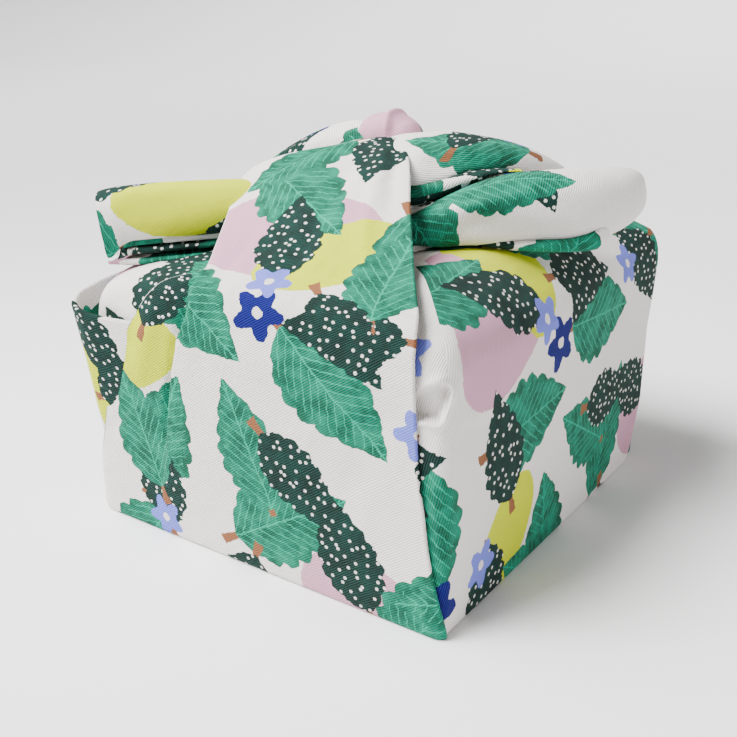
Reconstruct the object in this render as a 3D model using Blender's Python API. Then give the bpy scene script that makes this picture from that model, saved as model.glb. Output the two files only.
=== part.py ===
import math

import bmesh
import bpy
import numpy as np

MM = 0.001
CLOTH_COLOUR = (0.81, 0.78, 0.74)

# Driving sizes of the wrapped parcel.
WIDTH = 186 * MM             # across the front panel, along X
DEPTH = 200 * MM             # across the smooth side, along Y
HEIGHT = 120 * MM            # floor to the flat top
WALL_SLAB = 4.5 * MM         # thickness of a wing on the wall, before it is joined to the body
TENT_SLAB = 3.0 * MM         # thickness of a wing where it rises to the knot
TENT_START = 104 * MM        # height at which it leaves the wall
SIDE_BULGE = 2.0 * MM        # how far the tight sides bow out at mid height
CORNER_SAG = 7 * MM          # how far the top sinks at the pocket's corner
SAG_REACH = 38 * MM

# Radii of the upright corners at these heights, of the body and of the cloth drawn round it.
CORNERS = ("front_right", "back_right", "back_left", "front_left")
RADIUS_HEIGHTS = (0, 40, 70, 100, 120)
BODY_RADII = {
    "front_right": (3.5, 5.0, 6.5, 8.0, 9.0),
    "back_right": (12.0, 9.0, 7.0, 5.0, 4.5),
    "back_left": (10.0, 10.0, 14.0, 20.0, 20.0),
    "front_left": (8.0, 9.0, 20.0, 29.0, 30.0),
}
CLOTH_RADII = dict(BODY_RADII, front_left=(8.0, 9.0, 10.0, 11.0, 12.0), back_left=(10.0, 10.0, 10.0, 11.0, 12.0))
CORNER_STEPS = 5
SIDE_MARKS = (0.06, 0.18, 0.32, 0.46, 0.6, 0.74, 0.88)

# The body, from the floor up and then in over the top: height and inset, in mm.
BODY_ROWS = (
    # height, inset
    (0.0, 2.0),
    (0.8, 0.5),
    (3.0, 0.0),
    (14.0, 0.0),
    (30.0, 0.0),
    (46.0, 0.0),
    (62.0, 0.0),
    (78.0, 0.0),
    (92.0, 0.0),
    (101.0, 0.3),
    (107.0, 1.4),
    (112.0, 3.6),
    (116.0, 7.2),
    (118.6, 12.0),
    (120.0, 18.5),
    (121.2, 32.0),
    (123.6, 46.0),
    (128.0, 62.0),
)
# How far the back right corner stands out past the plain rectangle.
CORNER_PULL_HEIGHTS = (0, 12, 32, 70, 110, 120)
CORNER_PULL = (-4.0, 0.5, 4.0, 2.0, 6.0, 6.0)
CORNER_PULL_REACH = 18 * MM
CORNER_KEEP = 0.6            # share of the top's inset that this crisp corner doesn't take

# The front wing on the wall: height, then how far its two edges and its soft ridge lie from the
# middle along the wall, the ridge's rise and the step of the wing's edges, in mm. A length past
# the corner turns it.
FRONT_WALL_ROWS = (
    # height, left, right, ridge, rise, step
    (0.3, -99.0, 93.5, -60, 0.0, 0.8),
    (4.0, -99.0, 92.8, -58, 0.2, 1.8),
    (20.0, -98.0, 89.5, -54, 0.6, 2.0),
    (36.0, -95.0, 86.0, -50, 1.4, 2.0),
    (50.0, -91.0, 84.0, -47, 2.2, 2.0),
    (62.0, -84.0, 82.0, -44, 3.0, 2.0),
    (74.0, -77.0, 80.8, -42, 3.6, 2.2),
    (86.0, -69.0, 80.0, -38, 4.0, 2.4),
    (98.0, -60.0, 79.5, -35, 4.2, 2.8),
)
# The front wing's tent from the top edge to the knot: its left and right edges, its crown, and
# where across it the soft ridge lies and how far it rises, in mm.
FRONT_TENT_ROWS = (
    # left x, y, z, right x, y, z, crown, ridge, rise
    (-50, -102.8, 109, 79.0, -102.6, 109, 0.4, 0.16, 4.0),
    (-41, -100.5, 117, 78.6, -100.8, 117, 0.8, 0.12, 3.0),
    (-37, -94.0, 122.5, 76.0, -95.0, 122.5, 1.2, 0.08, 2.0),
    (-38, -84.0, 127, 69.5, -86.5, 127.5, 1.8, 0.05, 1.0),
    (-40, -73.0, 132, 61.5, -75.5, 133.5, 2.3, 0.05, 0.5),
    (-43, -60.0, 140, 52.0, -62.0, 142.0, 2.8, 0.05, 0.0),
    (-46, -48.0, 148.5, 42.5, -48.5, 149.5, 3.0, 0.05, 0.0),
    (-46, -36.0, 155, 33.5, -34.5, 156.5, 3.2, 0.05, 0.0),
    (-38, -25.0, 159.5, 25.0, -22.0, 162.0, 2.8, 0.05, 0.0),
    (-24, -15.0, 163.0, 17.0, -12.0, 165.5, 2.0, 0.05, 0.0),
    (-9, -9.0, 166.5, 11.0, -5.0, 167.5, 1.2, 0.05, 0.0),
)
BACK_WALL_ROWS = (
    (0.3, -90.0, 99.0, 40, 0.0, 0.8),
    (4.0, -89.5, 99.0, 40, 0.2, 1.8),
    (22.0, -87.0, 97.0, 42, 0.5, 2.0),
    (42.0, -84.0, 90.0, 42, 1.0, 2.0),
    (62.0, -81.0, 81.0, 40, 1.8, 2.0),
    (82.0, -78.0, 70.0, 36, 2.4, 2.2),
    (98.0, -76.0, 60.0, 34, 2.6, 2.6),
)
BACK_TENT_ROWS = (
    (-75, -102.6, 109, 54, -102.6, 109, 0.4, 0.80, 2.4),
    (-74, -100.6, 117, 50, -100.6, 117, 1.0, 0.80, 1.8),
    (-71, -93.0, 122.5, 47, -93.0, 122.5, 1.5, 0.80, 1.0),
    (-65, -81.0, 128, 45, -81.0, 128, 2.5, 0.80, 0.5),
    (-57, -67.0, 136.5, 42, -67.0, 136.5, 3.5, 0.80, 0.0),
    (-48, -52.0, 147, 38, -52.0, 147, 4.0, 0.80, 0.0),
    (-37, -38.0, 155, 31, -37.0, 155, 4.0, 0.80, 0.0),
    (-25, -25.0, 161, 22, -24.0, 161, 3.0, 0.80, 0.0),
    (-12, -14.0, 165, 11, -13.0, 165, 2.0, 0.80, 0.0),
)
ACROSS_MARKS = (0, 0.035, 0.08, 0.14, 0.21, 0.29, 0.38, 0.48, 0.6, 0.72, 0.84, 0.94, 1)

# What the wings are stretched over, level by level: its sides and its front and back, in mm.
MOUND_ROWS = (
    # height, left, right, front and back
    (112, -30, 62, 86),
    (121, -30, 62, 87),
    (128, -31, 57, 78),
    (135, -33, 49, 67),
    (142, -35, 42, 56),
    (149, -37, 34, 44),
    (155, -35, 25, 33),
    (160, -22, 16, 20),
    (163, -8, 6, 8),
)
MOUND_STEPS = 32

# Rolled and puffed forms, as cross-sections along their length, in mm.
LEFT_TAIL_ROWS = (
    # x, y, z, half height, half depth
    (-14, -20, 141, 11.0, 12.0),
    (-40, -41, 140.5, 11.5, 14.0),
    (-58, -55, 138.5, 12.0, 15.0),
    (-76, -68, 137, 12.5, 14.5),
    (-92, -79, 136, 13.0, 11.5),
    (-98, -83, 136.5, 11.0, 7.0),
)
LEFT_TAIL_LAYER_ROWS = (
    (-14, -22, 125, 4.0, 10.0),
    (-40, -43, 124.5, 4.5, 13.0),
    (-58, -56.5, 123.5, 4.8, 14.5),
    (-74, -68.5, 122, 5.2, 14.5),
    (-86, -77, 121.5, 5.5, 13.0),
    (-92, -81, 122.5, 4.0, 8.0),
)
RIGHT_TAIL_ROWS = (
    (8, -38, 139, 9.0, 10.0),
    (32, -29, 139.5, 10.5, 12.0),
    (50, -13, 139, 14.0, 14.0),
    (68, 8, 139.5, 17.0, 15.5),
    (83, 27, 139.5, 18.0, 15.5),
    (94, 41, 139.5, 17.0, 12.0),
    (98, 46, 141, 13.0, 7.0),
)
# Where a roll's layers part: angle round the section, its width, its depth, and the stretch of
# the roll that it runs along.
RIGHT_TAIL_NOTCHES = (
    # angle, width, depth, begins, ends
    (-46, 5.0, 0.16, 0.55, 1.0),
    (62, 9.0, 0.13, 0.0, 0.42),
)
LEFT_LAYER_NOTCHES = (
    (180, 9.0, 0.14, 0.0, 1.0),
)
# The flat folds that show between the right tail and the shoulder behind it.
INNER_FOLD_ROWS = (
    (10, -22, 147, 6.5, 8.0),
    (26, -16, 147.5, 6.0, 8.0),
    (42, -2, 150.5, 5.0, 8.0),
    (58, 14, 152.5, 3.5, 7.0),
    (68, 25, 151, 2.0, 5.0),
)
# The gathered cloth that fans out from the knot to the two side edges of the top.
RIGHT_SHOULDER_ROWS = (
    (2, 8, 150, 16.0, 13.0),
    (26, 9, 144, 24.0, 17.0),
    (46, 17, 138, 29.5, 19.0),
    (60, 30, 129, 30.5, 18.0),
    (68, 44, 118, 27.0, 17.0),
    (74, 56, 109, 16.0, 17.0),
    (78, 64, 100, 8.0, 16.0),
)
LEFT_SHOULDER_ROWS = (
    (0, 6, 150, 19.0, 13.0),
    (-24, 6, 146, 26.0, 18.0),
    (-44, 3, 136, 30.0, 25.0),
    (-62, 2, 122, 32.0, 32.0),
    (-75, 2, 112, 25.0, 38.0),
    (-84, 3, 104, 15.0, 40.0),
    (-88, 3, 98, 8.0, 40.0),
)
KNOT_ROWS = (
    (-16, 8, 163, 6.0, 7.0),
    (-12, 9, 165, 10.0, 11.0),
    (-6, 10, 166, 12.5, 13.0),
    (-1, 11, 165.5, 10.3, 11.0),
    (4, 12, 165.5, 11.3, 12.0),
    (9, 13, 163, 8.0, 9.0),
    (12, 14, 161, 4.5, 6.0),
)
# The loose corner of cloth that stands open as a pocket: how far its rim lies from the plain
# corner, and the height of the rim at the front and at the side.
POCKET_FLARE = 9.0 * MM
POCKET_WALL = 2.2 * MM
POCKET_START = 34 * MM
POCKET_RIM_FRONT = 97.5 * MM
POCKET_RIM_SIDE = 110 * MM
POCKET_REACH_FRONT = 45 * MM
POCKET_REACH_SIDE = 48 * MM
POCKET_INSIDE = 34 * MM
POCKET_STEPS = 16
POCKET_LEVELS = [h * MM for h in (34, 44, 54, 66, 78, 90, 97.5)]
HOLLOW_LEVELS = [h * MM for h in (60, 70, 80, 90, 97.5, 125)]
DIMPLE_CENTRE = (86 * MM, -105.5 * MM, 94 * MM)
DIMPLE_RADII = (7.5 * MM, 9.5 * MM, 7.0 * MM)


def smooth_rows(rows, steps):
    """Rows between the given ones, on a smooth curve through every column."""
    table = np.array(rows, dtype=float)
    first = 2 * table[0] - table[1]
    last = 2 * table[-1] - table[-2]
    table = np.vstack([first, table, last])
    out = []
    for k in range(1, len(table) - 2):
        before, start, end, after = table[k - 1:k + 3]
        for t in np.linspace(0, 1, steps, endpoint=False):
            out.append(0.5 * (2 * start + (end - before) * t
                              + (2 * before - 5 * start + 4 * end - after) * t ** 2
                              + (3 * start - before - 3 * end + after) * t ** 3))
    out.append(table[-2])
    return out


def corner_radius(radii, name, height):
    heights = [h * MM for h in RADIUS_HEIGHTS]
    return float(np.interp(height, heights, radii[name])) * MM


def bulge_at(height):
    return SIDE_BULGE * math.sin(math.pi * min(max(height / HEIGHT, 0), 1)) ** 0.8


def parcel_ring(height, inset):
    """One level of the body: a rectangle with round corners and bowed sides."""
    half_w = WIDTH / 2 - inset
    half_d = DEPTH / 2 - inset
    signs = {"front_right": (1, -1), "back_right": (1, 1), "back_left": (-1, 1), "front_left": (-1, -1)}
    start_turn = {"front_right": -90, "back_right": 0, "back_left": 90, "front_left": 180}
    corners = []
    for name in CORNERS:
        radius = max(corner_radius(BODY_RADII, name, height) - 0.25 * inset, 2.5 * MM)
        sx, sy = signs[name]
        centre = np.array([sx * (half_w - radius), sy * (half_d - radius)])
        arc = []
        for k in range(CORNER_STEPS + 1):
            turn = math.radians(start_turn[name] + 90 * k / CORNER_STEPS)
            arc.append(centre + radius * np.array([math.cos(turn), math.sin(turn)]))
        corners.append(arc)
    bulge = bulge_at(height) if inset < 1 * MM else 0
    points = []
    for k, arc in enumerate(corners):
        points.extend(arc)
        following = corners[(k + 1) % 4][0]
        run = following - arc[-1]
        outward = np.array([run[1], -run[0]]) / np.linalg.norm(run)
        for mark in SIDE_MARKS:
            bow = bulge * math.sin(math.pi * mark)
            points.append(arc[-1] + run * mark + outward * bow)
    pull = float(np.interp(height / MM, CORNER_PULL_HEIGHTS, CORNER_PULL)) * MM
    ring = []
    for x, y in points:
        near = math.exp(-(math.hypot(x - half_w, y - half_d) / CORNER_PULL_REACH) ** 2)
        x += (0.2 * pull + CORNER_KEEP * min(inset, 12 * MM)) * near
        y += (pull + CORNER_KEEP * min(inset, 12 * MM)) * near
        away = math.hypot(x + WIDTH / 2, y + DEPTH / 2)
        sag = CORNER_SAG * math.exp(-(away / SAG_REACH) ** 2) * (height / HEIGHT) ** 6
        ring.append((x, y, height - sag))
    return ring


def wall_point(along, height, stand_off, right_corner, left_corner):
    """A point on the front wall, 'along' from its middle, going round a corner past its end."""
    side = 1 if along >= 0 else -1
    radius = corner_radius(CLOTH_RADII, right_corner if side > 0 else left_corner, height)
    straight = WIDTH / 2 - radius
    length = abs(along)
    front = -DEPTH / 2
    if length <= straight:
        bow = bulge_at(height) * math.cos(math.pi / 2 * length / (WIDTH / 2)) ** 1.2
        return (along, front - bow - stand_off, height)
    turn = min((length - straight) / radius, math.pi / 2)
    reach = radius + stand_off
    x = straight + reach * math.sin(turn)
    y = front + radius - reach * math.cos(turn)
    past = max(length - straight - radius * math.pi / 2, 0)
    return (side * x, y + past, height)


def lofted(name, rings):
    """A closed solid through rings of equal length, each end closed round its middle."""
    mesh = bmesh.new()
    rows = [[mesh.verts.new(p) for p in ring] for ring in rings]
    count = len(rows[0])
    for low, high in zip(rows, rows[1:]):
        for k in range(count):
            after = (k + 1) % count
            mesh.faces.new((low[k], low[after], high[after], high[k]))
    for ring, flip in ((rows[0], True), (rows[-1], False)):
        middle = mesh.verts.new(np.mean([np.array(v.co) for v in ring], axis=0))
        for k in range(count):
            after = (k + 1) % count
            edge = (ring[after], ring[k]) if flip else (ring[k], ring[after])
            mesh.faces.new((*edge, middle))
    bmesh.ops.recalc_face_normals(mesh, faces=mesh.faces)
    data = bpy.data.meshes.new(name)
    mesh.to_mesh(data)
    mesh.free()
    solid = bpy.data.objects.new(name, data)
    bpy.context.scene.collection.objects.link(solid)
    return solid


def body_solid():
    return lofted("body", [parcel_ring(h * MM, i * MM) for h, i in BODY_ROWS])


def eased(share):
    return share * share * (3 - 2 * share)


def wing_grid(wall_rows, tent_rows, right_corner, left_corner):
    """The outer face of a wing, row by row from the floor to the knot."""
    flat = []
    lifts = []
    for height, left, right, ridge, rise, step in wall_rows:
        along = left + (right - left) * np.array(ACROSS_MARKS)
        run = np.where(along < ridge, ridge - left, right - ridge)
        lifts.append(step + rise * eased(np.clip(1 - np.abs(along - ridge) / run, 0, 1)))
        flat.append([wall_point(a * MM, height * MM, 0, right_corner, left_corner) for a in along])
    for lx, ly, lz, rx, ry, rz, crown, ridge, rise in tent_rows:
        marks = np.array(ACROSS_MARKS)
        share = np.where(marks < ridge, marks / ridge, (1 - marks) / (1 - ridge))
        lifts.append(crown * np.sin(math.pi * marks) + rise * eased(share))
        left_end, right_end = np.array((lx, ly, lz)) * MM, np.array((rx, ry, rz)) * MM
        flat.append([tuple(left_end + (right_end - left_end) * m) for m in marks])
    flat = np.array(flat)
    grid = flat + grid_normals(flat) * np.array(lifts)[:, :, None] * MM
    grid[0, :, 2] = flat[0, :, 2]
    rows = smooth_rows(grid.reshape(len(grid), -1), 2)
    return np.array(rows).reshape(len(rows), len(ACROSS_MARKS), 3)


def grid_normals(grid):
    across = np.gradient(grid, axis=1)
    upward = np.gradient(grid, axis=0)
    normal = np.cross(across, upward)
    return normal / np.linalg.norm(normal, axis=2, keepdims=True)


def wing_solid(name, grid):
    """A wing as a slab under its outer face, thicker where it lies on the wall."""
    thickness = np.where(grid[:, :1, 2:] < TENT_START, WALL_SLAB, TENT_SLAB)
    inner = grid - grid_normals(grid) * thickness
    inner[:, :, 2] = np.maximum(inner[:, :, 2], grid[0, 0, 2])
    rings = []
    for outer_row, inner_row in zip(grid, inner):
        rings.append([tuple(p) for p in outer_row] + [tuple(p) for p in inner_row[::-1]])
    return lofted(name, rings)


def mound_solid():
    """The gathered cloth under the wings, up to the knot."""
    rings = []
    for height, left, right, reach in MOUND_ROWS:
        ring = []
        for k in range(MOUND_STEPS):
            turn = 2 * math.pi * k / MOUND_STEPS
            c, s = math.cos(turn), math.sin(turn)
            round_out = (abs(c) ** 3 + abs(s) ** 3) ** (-1 / 3)
            x = (left + right) / 2 + (right - left) / 2 * c * round_out
            ring.append((x * MM, reach * s * round_out * MM, height * MM))
        rings.append(ring)
    return lofted("mound", rings)


def rolled_solid(name, rows, notches=(), steps=3, around=24, upright=False):
    """A roll: oval sections across a path, with grooves along it where its layers part."""
    path = np.array(smooth_rows(rows, steps))
    power = 2.0 if upright else 2.4
    centres = path[:, :3] * MM
    rings = []
    for k, (centre, row) in enumerate(zip(centres, path)):
        ahead = centres[min(k + 1, len(path) - 1)] - centres[max(k - 1, 0)]
        side = np.array([ahead[1], -ahead[0], 0])
        side /= np.linalg.norm(side)
        up = np.cross(side, ahead)
        up /= np.linalg.norm(up)
        if up[2] < 0:
            up = -up
        if upright:
            up = np.array([0, 0, 1])
        share = k / (len(path) - 1)
        ring = []
        for m in range(around):
            turn = 2 * math.pi * m / around
            c, s = math.cos(turn), math.sin(turn)
            round_out = (abs(c) ** power + abs(s) ** power) ** (-1 / power)
            pinch = 1
            for angle, width, depth, begins, ends in notches:
                if begins <= share <= ends:
                    gap = (math.degrees(turn) - angle + 180) % 360 - 180
                    pinch -= depth * math.exp(-(gap / width) ** 2)
            ring.append(tuple(centre + side * c * round_out * pinch * row[4] * MM
                              + up * s * round_out * pinch * row[3] * MM))
        rings.append(ring)
    return lofted(name, rings)


def pocket_level(height, shrink):
    """One level of the pocket, from its front edge round the corner and back inside the body."""
    flare = POCKET_FLARE * min(max((height - POCKET_START) / (POCKET_RIM_FRONT - POCKET_START), 0), 1) ** 1.3
    outer = []
    for k in range(POCKET_STEPS + 1):
        t = k / POCKET_STEPS
        along = -(WIDTH / 2 - POCKET_REACH_FRONT) - t * (POCKET_REACH_FRONT + POCKET_REACH_SIDE)
        emerge = (0.8 * min((height - POCKET_START) / (20 * MM), 1) - 0.4) * MM
        out = flare * math.sin(math.pi * t) ** 1.5 + emerge - shrink
        x, y, z = wall_point(along, height, out, "front_right", "front_left")
        outer.append((x, y))
    inner = [(-WIDTH / 2 + POCKET_INSIDE, -DEPTH / 2 + POCKET_REACH_SIDE),
             (-WIDTH / 2 + POCKET_INSIDE, -DEPTH / 2 + POCKET_INSIDE),
             (-WIDTH / 2 + POCKET_REACH_FRONT, -DEPTH / 2 + POCKET_INSIDE)]
    return outer, inner


def pocket_solid(name, levels, shrink, tilt):
    """The pocket's outside, or its inside as a cutter, with the rim's tilt at the top level."""
    rings = []
    for height in levels:
        outer, inner = pocket_level(height, shrink)
        ring = []
        for k, (x, y) in enumerate(outer + inner):
            z = height
            if height == levels[-1] and tilt:
                side = min(max((y + DEPTH / 2) / (30 * MM), 0), 1)
                z = POCKET_RIM_FRONT + (POCKET_RIM_SIDE - POCKET_RIM_FRONT) * side
            ring.append((x, y, z))
        rings.append(ring)
    return lofted(name, rings)


def dimple_cutter():
    """The hollow that the wing's pull leaves at the front right corner."""
    bpy.ops.mesh.primitive_uv_sphere_add(segments=20, ring_count=12, radius=1, location=DIMPLE_CENTRE)
    cutter = bpy.context.object
    cutter.name = "dimple_cutter"
    cutter.scale = DIMPLE_RADII
    bpy.ops.object.transform_apply(location=False, rotation=False, scale=True)
    return cutter


def combine(target, others, operation, solver):
    for other in others:
        join = target.modifiers.new(other.name, "BOOLEAN")
        join.operation = operation
        join.solver = solver
        join.object = other
        other.hide_render = True
        other.display_type = "WIRE"


def turned(grid):
    """The same grid on the other side of the parcel, half a turn round."""
    return grid * np.array([-1, -1, 1])


def cotton():
    material = bpy.data.materials.new("printed_cotton")
    material.use_nodes = True
    surface = material.node_tree.nodes["Principled BSDF"]
    surface.inputs["Base Color"].default_value = (*CLOTH_COLOUR, 1)
    surface.inputs["Roughness"].default_value = 0.85
    surface.inputs["Sheen Weight"].default_value = 0.2
    return material


def main():
    for thing in list(bpy.data.objects):
        bpy.data.objects.remove(thing, do_unlink=True)
    cloth = body_solid()
    cloth.name = "furoshiki_cloth"
    front = wing_grid(FRONT_WALL_ROWS, FRONT_TENT_ROWS, "front_right", "front_left")
    back = turned(wing_grid(BACK_WALL_ROWS, BACK_TENT_ROWS, "back_left", "back_right"))
    pocket = pocket_solid("pocket", POCKET_LEVELS, 0, True)
    hollow = pocket_solid("pocket_hollow", HOLLOW_LEVELS, POCKET_WALL, False)
    combine(pocket, [hollow], "DIFFERENCE", "EXACT")
    combine(cloth, [dimple_cutter()], "DIFFERENCE", "EXACT")
    pieces = [
        pocket,
        wing_solid("front_wing", front),
        wing_solid("back_wing", back),
        mound_solid(),
        rolled_solid("left_tail", LEFT_TAIL_ROWS),
        rolled_solid("left_tail_layers", LEFT_TAIL_LAYER_ROWS, LEFT_LAYER_NOTCHES),
        rolled_solid("right_tail", RIGHT_TAIL_ROWS, RIGHT_TAIL_NOTCHES, around=36),
        rolled_solid("inner_fold", INNER_FOLD_ROWS, around=16),
        rolled_solid("right_shoulder", RIGHT_SHOULDER_ROWS, upright=True),
        rolled_solid("left_shoulder", LEFT_SHOULDER_ROWS, upright=True),
        rolled_solid("knot", KNOT_ROWS, steps=2),
    ]
    combine(cloth, pieces, "UNION", "MANIFOLD")
    cloth.data.shade_smooth()
    cloth.data.materials.append(cotton())


main()
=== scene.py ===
import math

import bmesh
import bpy
import numpy as np
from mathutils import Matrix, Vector


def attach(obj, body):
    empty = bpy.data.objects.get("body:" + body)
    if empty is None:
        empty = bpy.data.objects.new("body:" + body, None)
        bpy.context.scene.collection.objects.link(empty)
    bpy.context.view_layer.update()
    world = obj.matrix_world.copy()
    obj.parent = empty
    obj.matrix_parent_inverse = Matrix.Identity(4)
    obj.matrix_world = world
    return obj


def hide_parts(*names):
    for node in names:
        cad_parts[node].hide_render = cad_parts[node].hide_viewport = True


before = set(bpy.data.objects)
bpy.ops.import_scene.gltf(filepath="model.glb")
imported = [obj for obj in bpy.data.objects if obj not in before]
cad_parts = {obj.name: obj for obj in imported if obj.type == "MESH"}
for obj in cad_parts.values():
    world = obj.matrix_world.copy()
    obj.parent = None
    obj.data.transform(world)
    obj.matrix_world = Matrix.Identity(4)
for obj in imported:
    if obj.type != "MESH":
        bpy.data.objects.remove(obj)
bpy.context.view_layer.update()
print("frame loaded:", len(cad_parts), "node")

mm = 0.001
straightUp = np.array([0.0, 0.0, 1.0])
clothPatches = []            # every stretch of the cloth: points in mm, and where they lie on the flat cloth


# small helpers for tables and grids

def curveThrough(rows, steps):
    # a smooth curve through every row; steps is the count for each stretch, or one for all
    table = np.array(rows, dtype=float)
    table = np.vstack([2 * table[0] - table[1], table, 2 * table[-1] - table[-2]])
    stretches = len(table) - 3
    counts = [steps] * stretches if isinstance(steps, int) else list(steps)[:stretches]
    out = []
    for k, count in enumerate(counts, start=1):
        before, start, end, after = table[k - 1:k + 3]
        t = np.linspace(0, 1, count, endpoint=False)[:, None]
        out.append(0.5 * (2 * start + (end - before) * t
                          + (2 * before - 5 * start + 4 * end - after) * t ** 2
                          + (3 * start - before - 3 * end + after) * t ** 3))
    out.append(table[-2][None])
    return np.vstack(out)


def smoothStep(value, low=0.0, high=1.0):
    share = np.clip((np.asarray(value, dtype=float) - low) / (high - low), 0, 1)
    return share * share * (3 - 2 * share)


def unit(vectors):
    return vectors / np.maximum(np.linalg.norm(vectors, axis=-1, keepdims=True), 1e-9)


def gridNormals(points):
    return unit(np.cross(np.gradient(points, axis=1), np.gradient(points, axis=0)))


def lengthsAlong(points, axis):
    step = np.linalg.norm(np.diff(points, axis=axis), axis=2)
    start = np.zeros((1, step.shape[1])) if axis == 0 else np.zeros((step.shape[0], 1))
    return np.concatenate([start, np.cumsum(step, axis=axis)], axis=axis)


creaseEnds = {"fade": 0.3, "kept": 0.25}     # over this share of it, a crease sinks to this share at its ends


def creased(points, creases, where=1.0):
    # the points, pushed out by soft creases drawn over them, in mm
    # a crease: (its points), width, height (below zero is a trough)
    push = np.zeros(points.shape[:-1])
    for path, width, height in creases:
        path = np.array(path, dtype=float)
        lengths = np.insert(np.cumsum(np.linalg.norm(np.diff(path, axis=0), axis=1)), 0, 0)
        nearest = np.full(push.shape, np.inf)
        reached = np.zeros(push.shape)
        for a, b, begins in zip(path, path[1:], lengths):
            run = b - a
            t = np.clip(((points - a) @ run) / (run @ run), 0, 1)
            gap = np.linalg.norm(points - (a + t[..., None] * run), axis=-1)
            closer = gap < nearest
            nearest = np.where(closer, gap, nearest)
            reached = np.where(closer, begins + t * np.linalg.norm(run), reached)
        share = reached / lengths[-1]
        fade = smoothStep(share, 0, creaseEnds["fade"]) * smoothStep(1 - share, 0, creaseEnds["fade"])
        strength = creaseEnds["kept"] + (1 - creaseEnds["kept"]) * fade
        push += height * np.exp(-(nearest / width) ** 2) * strength
    return points + gridNormals(points) * (push * where)[..., None]


def layPatch(points, across, up, piece):
    # across and up say where the points lie on the flat cloth, in mm, before the piece's own turn and shift
    c, s = math.cos(math.radians(piece["turn"])), math.sin(math.radians(piece["turn"]))
    right, forward = piece["shift"]
    flat = np.stack([across * c - up * s + right, across * s + up * c + forward], axis=-1)
    clothPatches.append((points, flat))


def layAlong(points, piece, column, centred=False):
    # a patch whose print runs along one of its columns
    across = lengthsAlong(points, 1)
    if centred:
        across = across - across[:, column:column + 1]
    along = lengthsAlong(points, 0)[:, column:column + 1] * np.ones_like(across)
    layPatch(points, along, across, piece)


# the body: the tight cloth round the load

parcel = {
    "width": 186, "depth": 200, "height": 120,   # mm
    # how far the sides bow out, how full that is up the wall and along the front, and the inset where it ends
    "sideBulge": 2.0, "bulgeFullness": 0.8, "bowFullness": 1.2, "bowInset": 5,
    # how far the front left corner sinks, how wide, and how late up the wall
    "cornerSag": 7, "sagReach": 38, "sagPower": 6,
    "radiusHeights": (0, 40, 70, 100, 120),
    "radii": {
        "frontRight": (3.5, 5.0, 6.5, 8.0, 9.0),
        "backRight": (12.0, 9.0, 7.0, 5.0, 4.5),
        "backLeft": (10.0, 10.0, 14.0, 20.0, 20.0),
        "frontLeft": (8.0, 9.0, 12.0, 16.0, 19.0),
    },
    # further in the corners grow sharper, down to a least radius or a share of what is left in the middle
    "radiusLoss": 0.25, "leastRadius": 2.5, "middleRadius": 0.9,
    "rows": (
        # height, inset, steps to the next row
        (0.0, 92.9, 2),
        (0.0, 60.0, 3),
        (0.0, 12.0, 3),
        (0.0, 2.2, 3),
        (0.8, 0.5, 3),
        (3.0, 0.0, 4),
        (14.0, 0.0, 6),
        (30.0, 0.0, 7),
        (46.0, 0.0, 8),
        (62.0, 0.0, 9),
        (78.0, 0.0, 8),
        (84.0, 0.0, 13),
        (90.0, 0.0, 13),
        (101.0, 0.3, 8),
        (107.0, 1.4, 5),
        (112.0, 3.6, 4),
        (116.0, 7.2, 4),
        (118.6, 12.0, 4),
        (120.0, 18.5, 5),
        (121.2, 32.0, 5),
        (123.6, 46.0, 4),
        (126.0, 62.0, 3),
        (127.0, 92.9, 1),
    ),
    "wallRows": {"insetBelow": 0.6, "heightAbove": 2},
    # the back right corner is pulled in and out: heights, pull, its share sideways, reach and greatest inset
    "pullHeights": (0, 12, 32, 70, 110, 120),
    "pull": (-4.0, 0.5, 4.0, 2.0, 6.0, 6.0),
    "pullSideways": 0.2, "pullReach": 18, "pullInset": 20,
    # there a row gives back this share of its inset, up to one inset, and nothing past another
    "cornerKeep": 0.6, "keepInset": 12, "keepUntil": 40,
    # the cloth climbs toward the knot on the right: how far, and between which places and insets
    "rightLift": 8.0, "liftAcross": (20, 66), "liftInset": (7, 30),
    "arcSteps": 9,
    # columns up to a share of each side, that share, and columns after it
    "sideSteps": {
        "right": (18, 0.10, 42), "back": (17, 0.5, 17), "left": (17, 0.5, 17), "front": (28, 0.86, 28),
    },
    "turn": -30, "shift": (4, 6),
}
cornerTurns = {"frontRight": -90, "backRight": 0, "backLeft": 90, "frontLeft": 180}
cornerSigns = {"frontRight": (1, -1), "backRight": (1, 1), "backLeft": (-1, 1), "frontLeft": (-1, -1)}
sideCorners = {
    "right": ("frontRight", "backRight"), "back": ("backRight", "backLeft"),
    "left": ("backLeft", "frontLeft"), "front": ("frontLeft", "frontRight"),
}


def bulgeAt(height):
    share = np.clip(np.asarray(height) / parcel["height"], 0, 1)
    return parcel["sideBulge"] * np.sin(math.pi * share) ** parcel["bulgeFullness"]


def halfSizes(inset):
    return parcel["width"] / 2 - inset, parcel["depth"] / 2 - inset


def halfArc(corner, height, inset, second):
    # the first or second half of one rounded corner, seen from above
    halfW, halfD = halfSizes(inset)
    radius = np.interp(height, parcel["radiusHeights"], parcel["radii"][corner])
    least = min(parcel["leastRadius"], halfW * parcel["middleRadius"])
    radius = max(radius - parcel["radiusLoss"] * inset, least)
    sx, sy = cornerSigns[corner]
    centre = np.array([sx * (halfW - radius), sy * (halfD - radius)])
    turns = np.radians(cornerTurns[corner] + np.linspace(45, 90, parcel["arcSteps"]) - (0 if second else 45))
    return centre + radius * np.stack([np.cos(turns), np.sin(turns)], axis=1)


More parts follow.
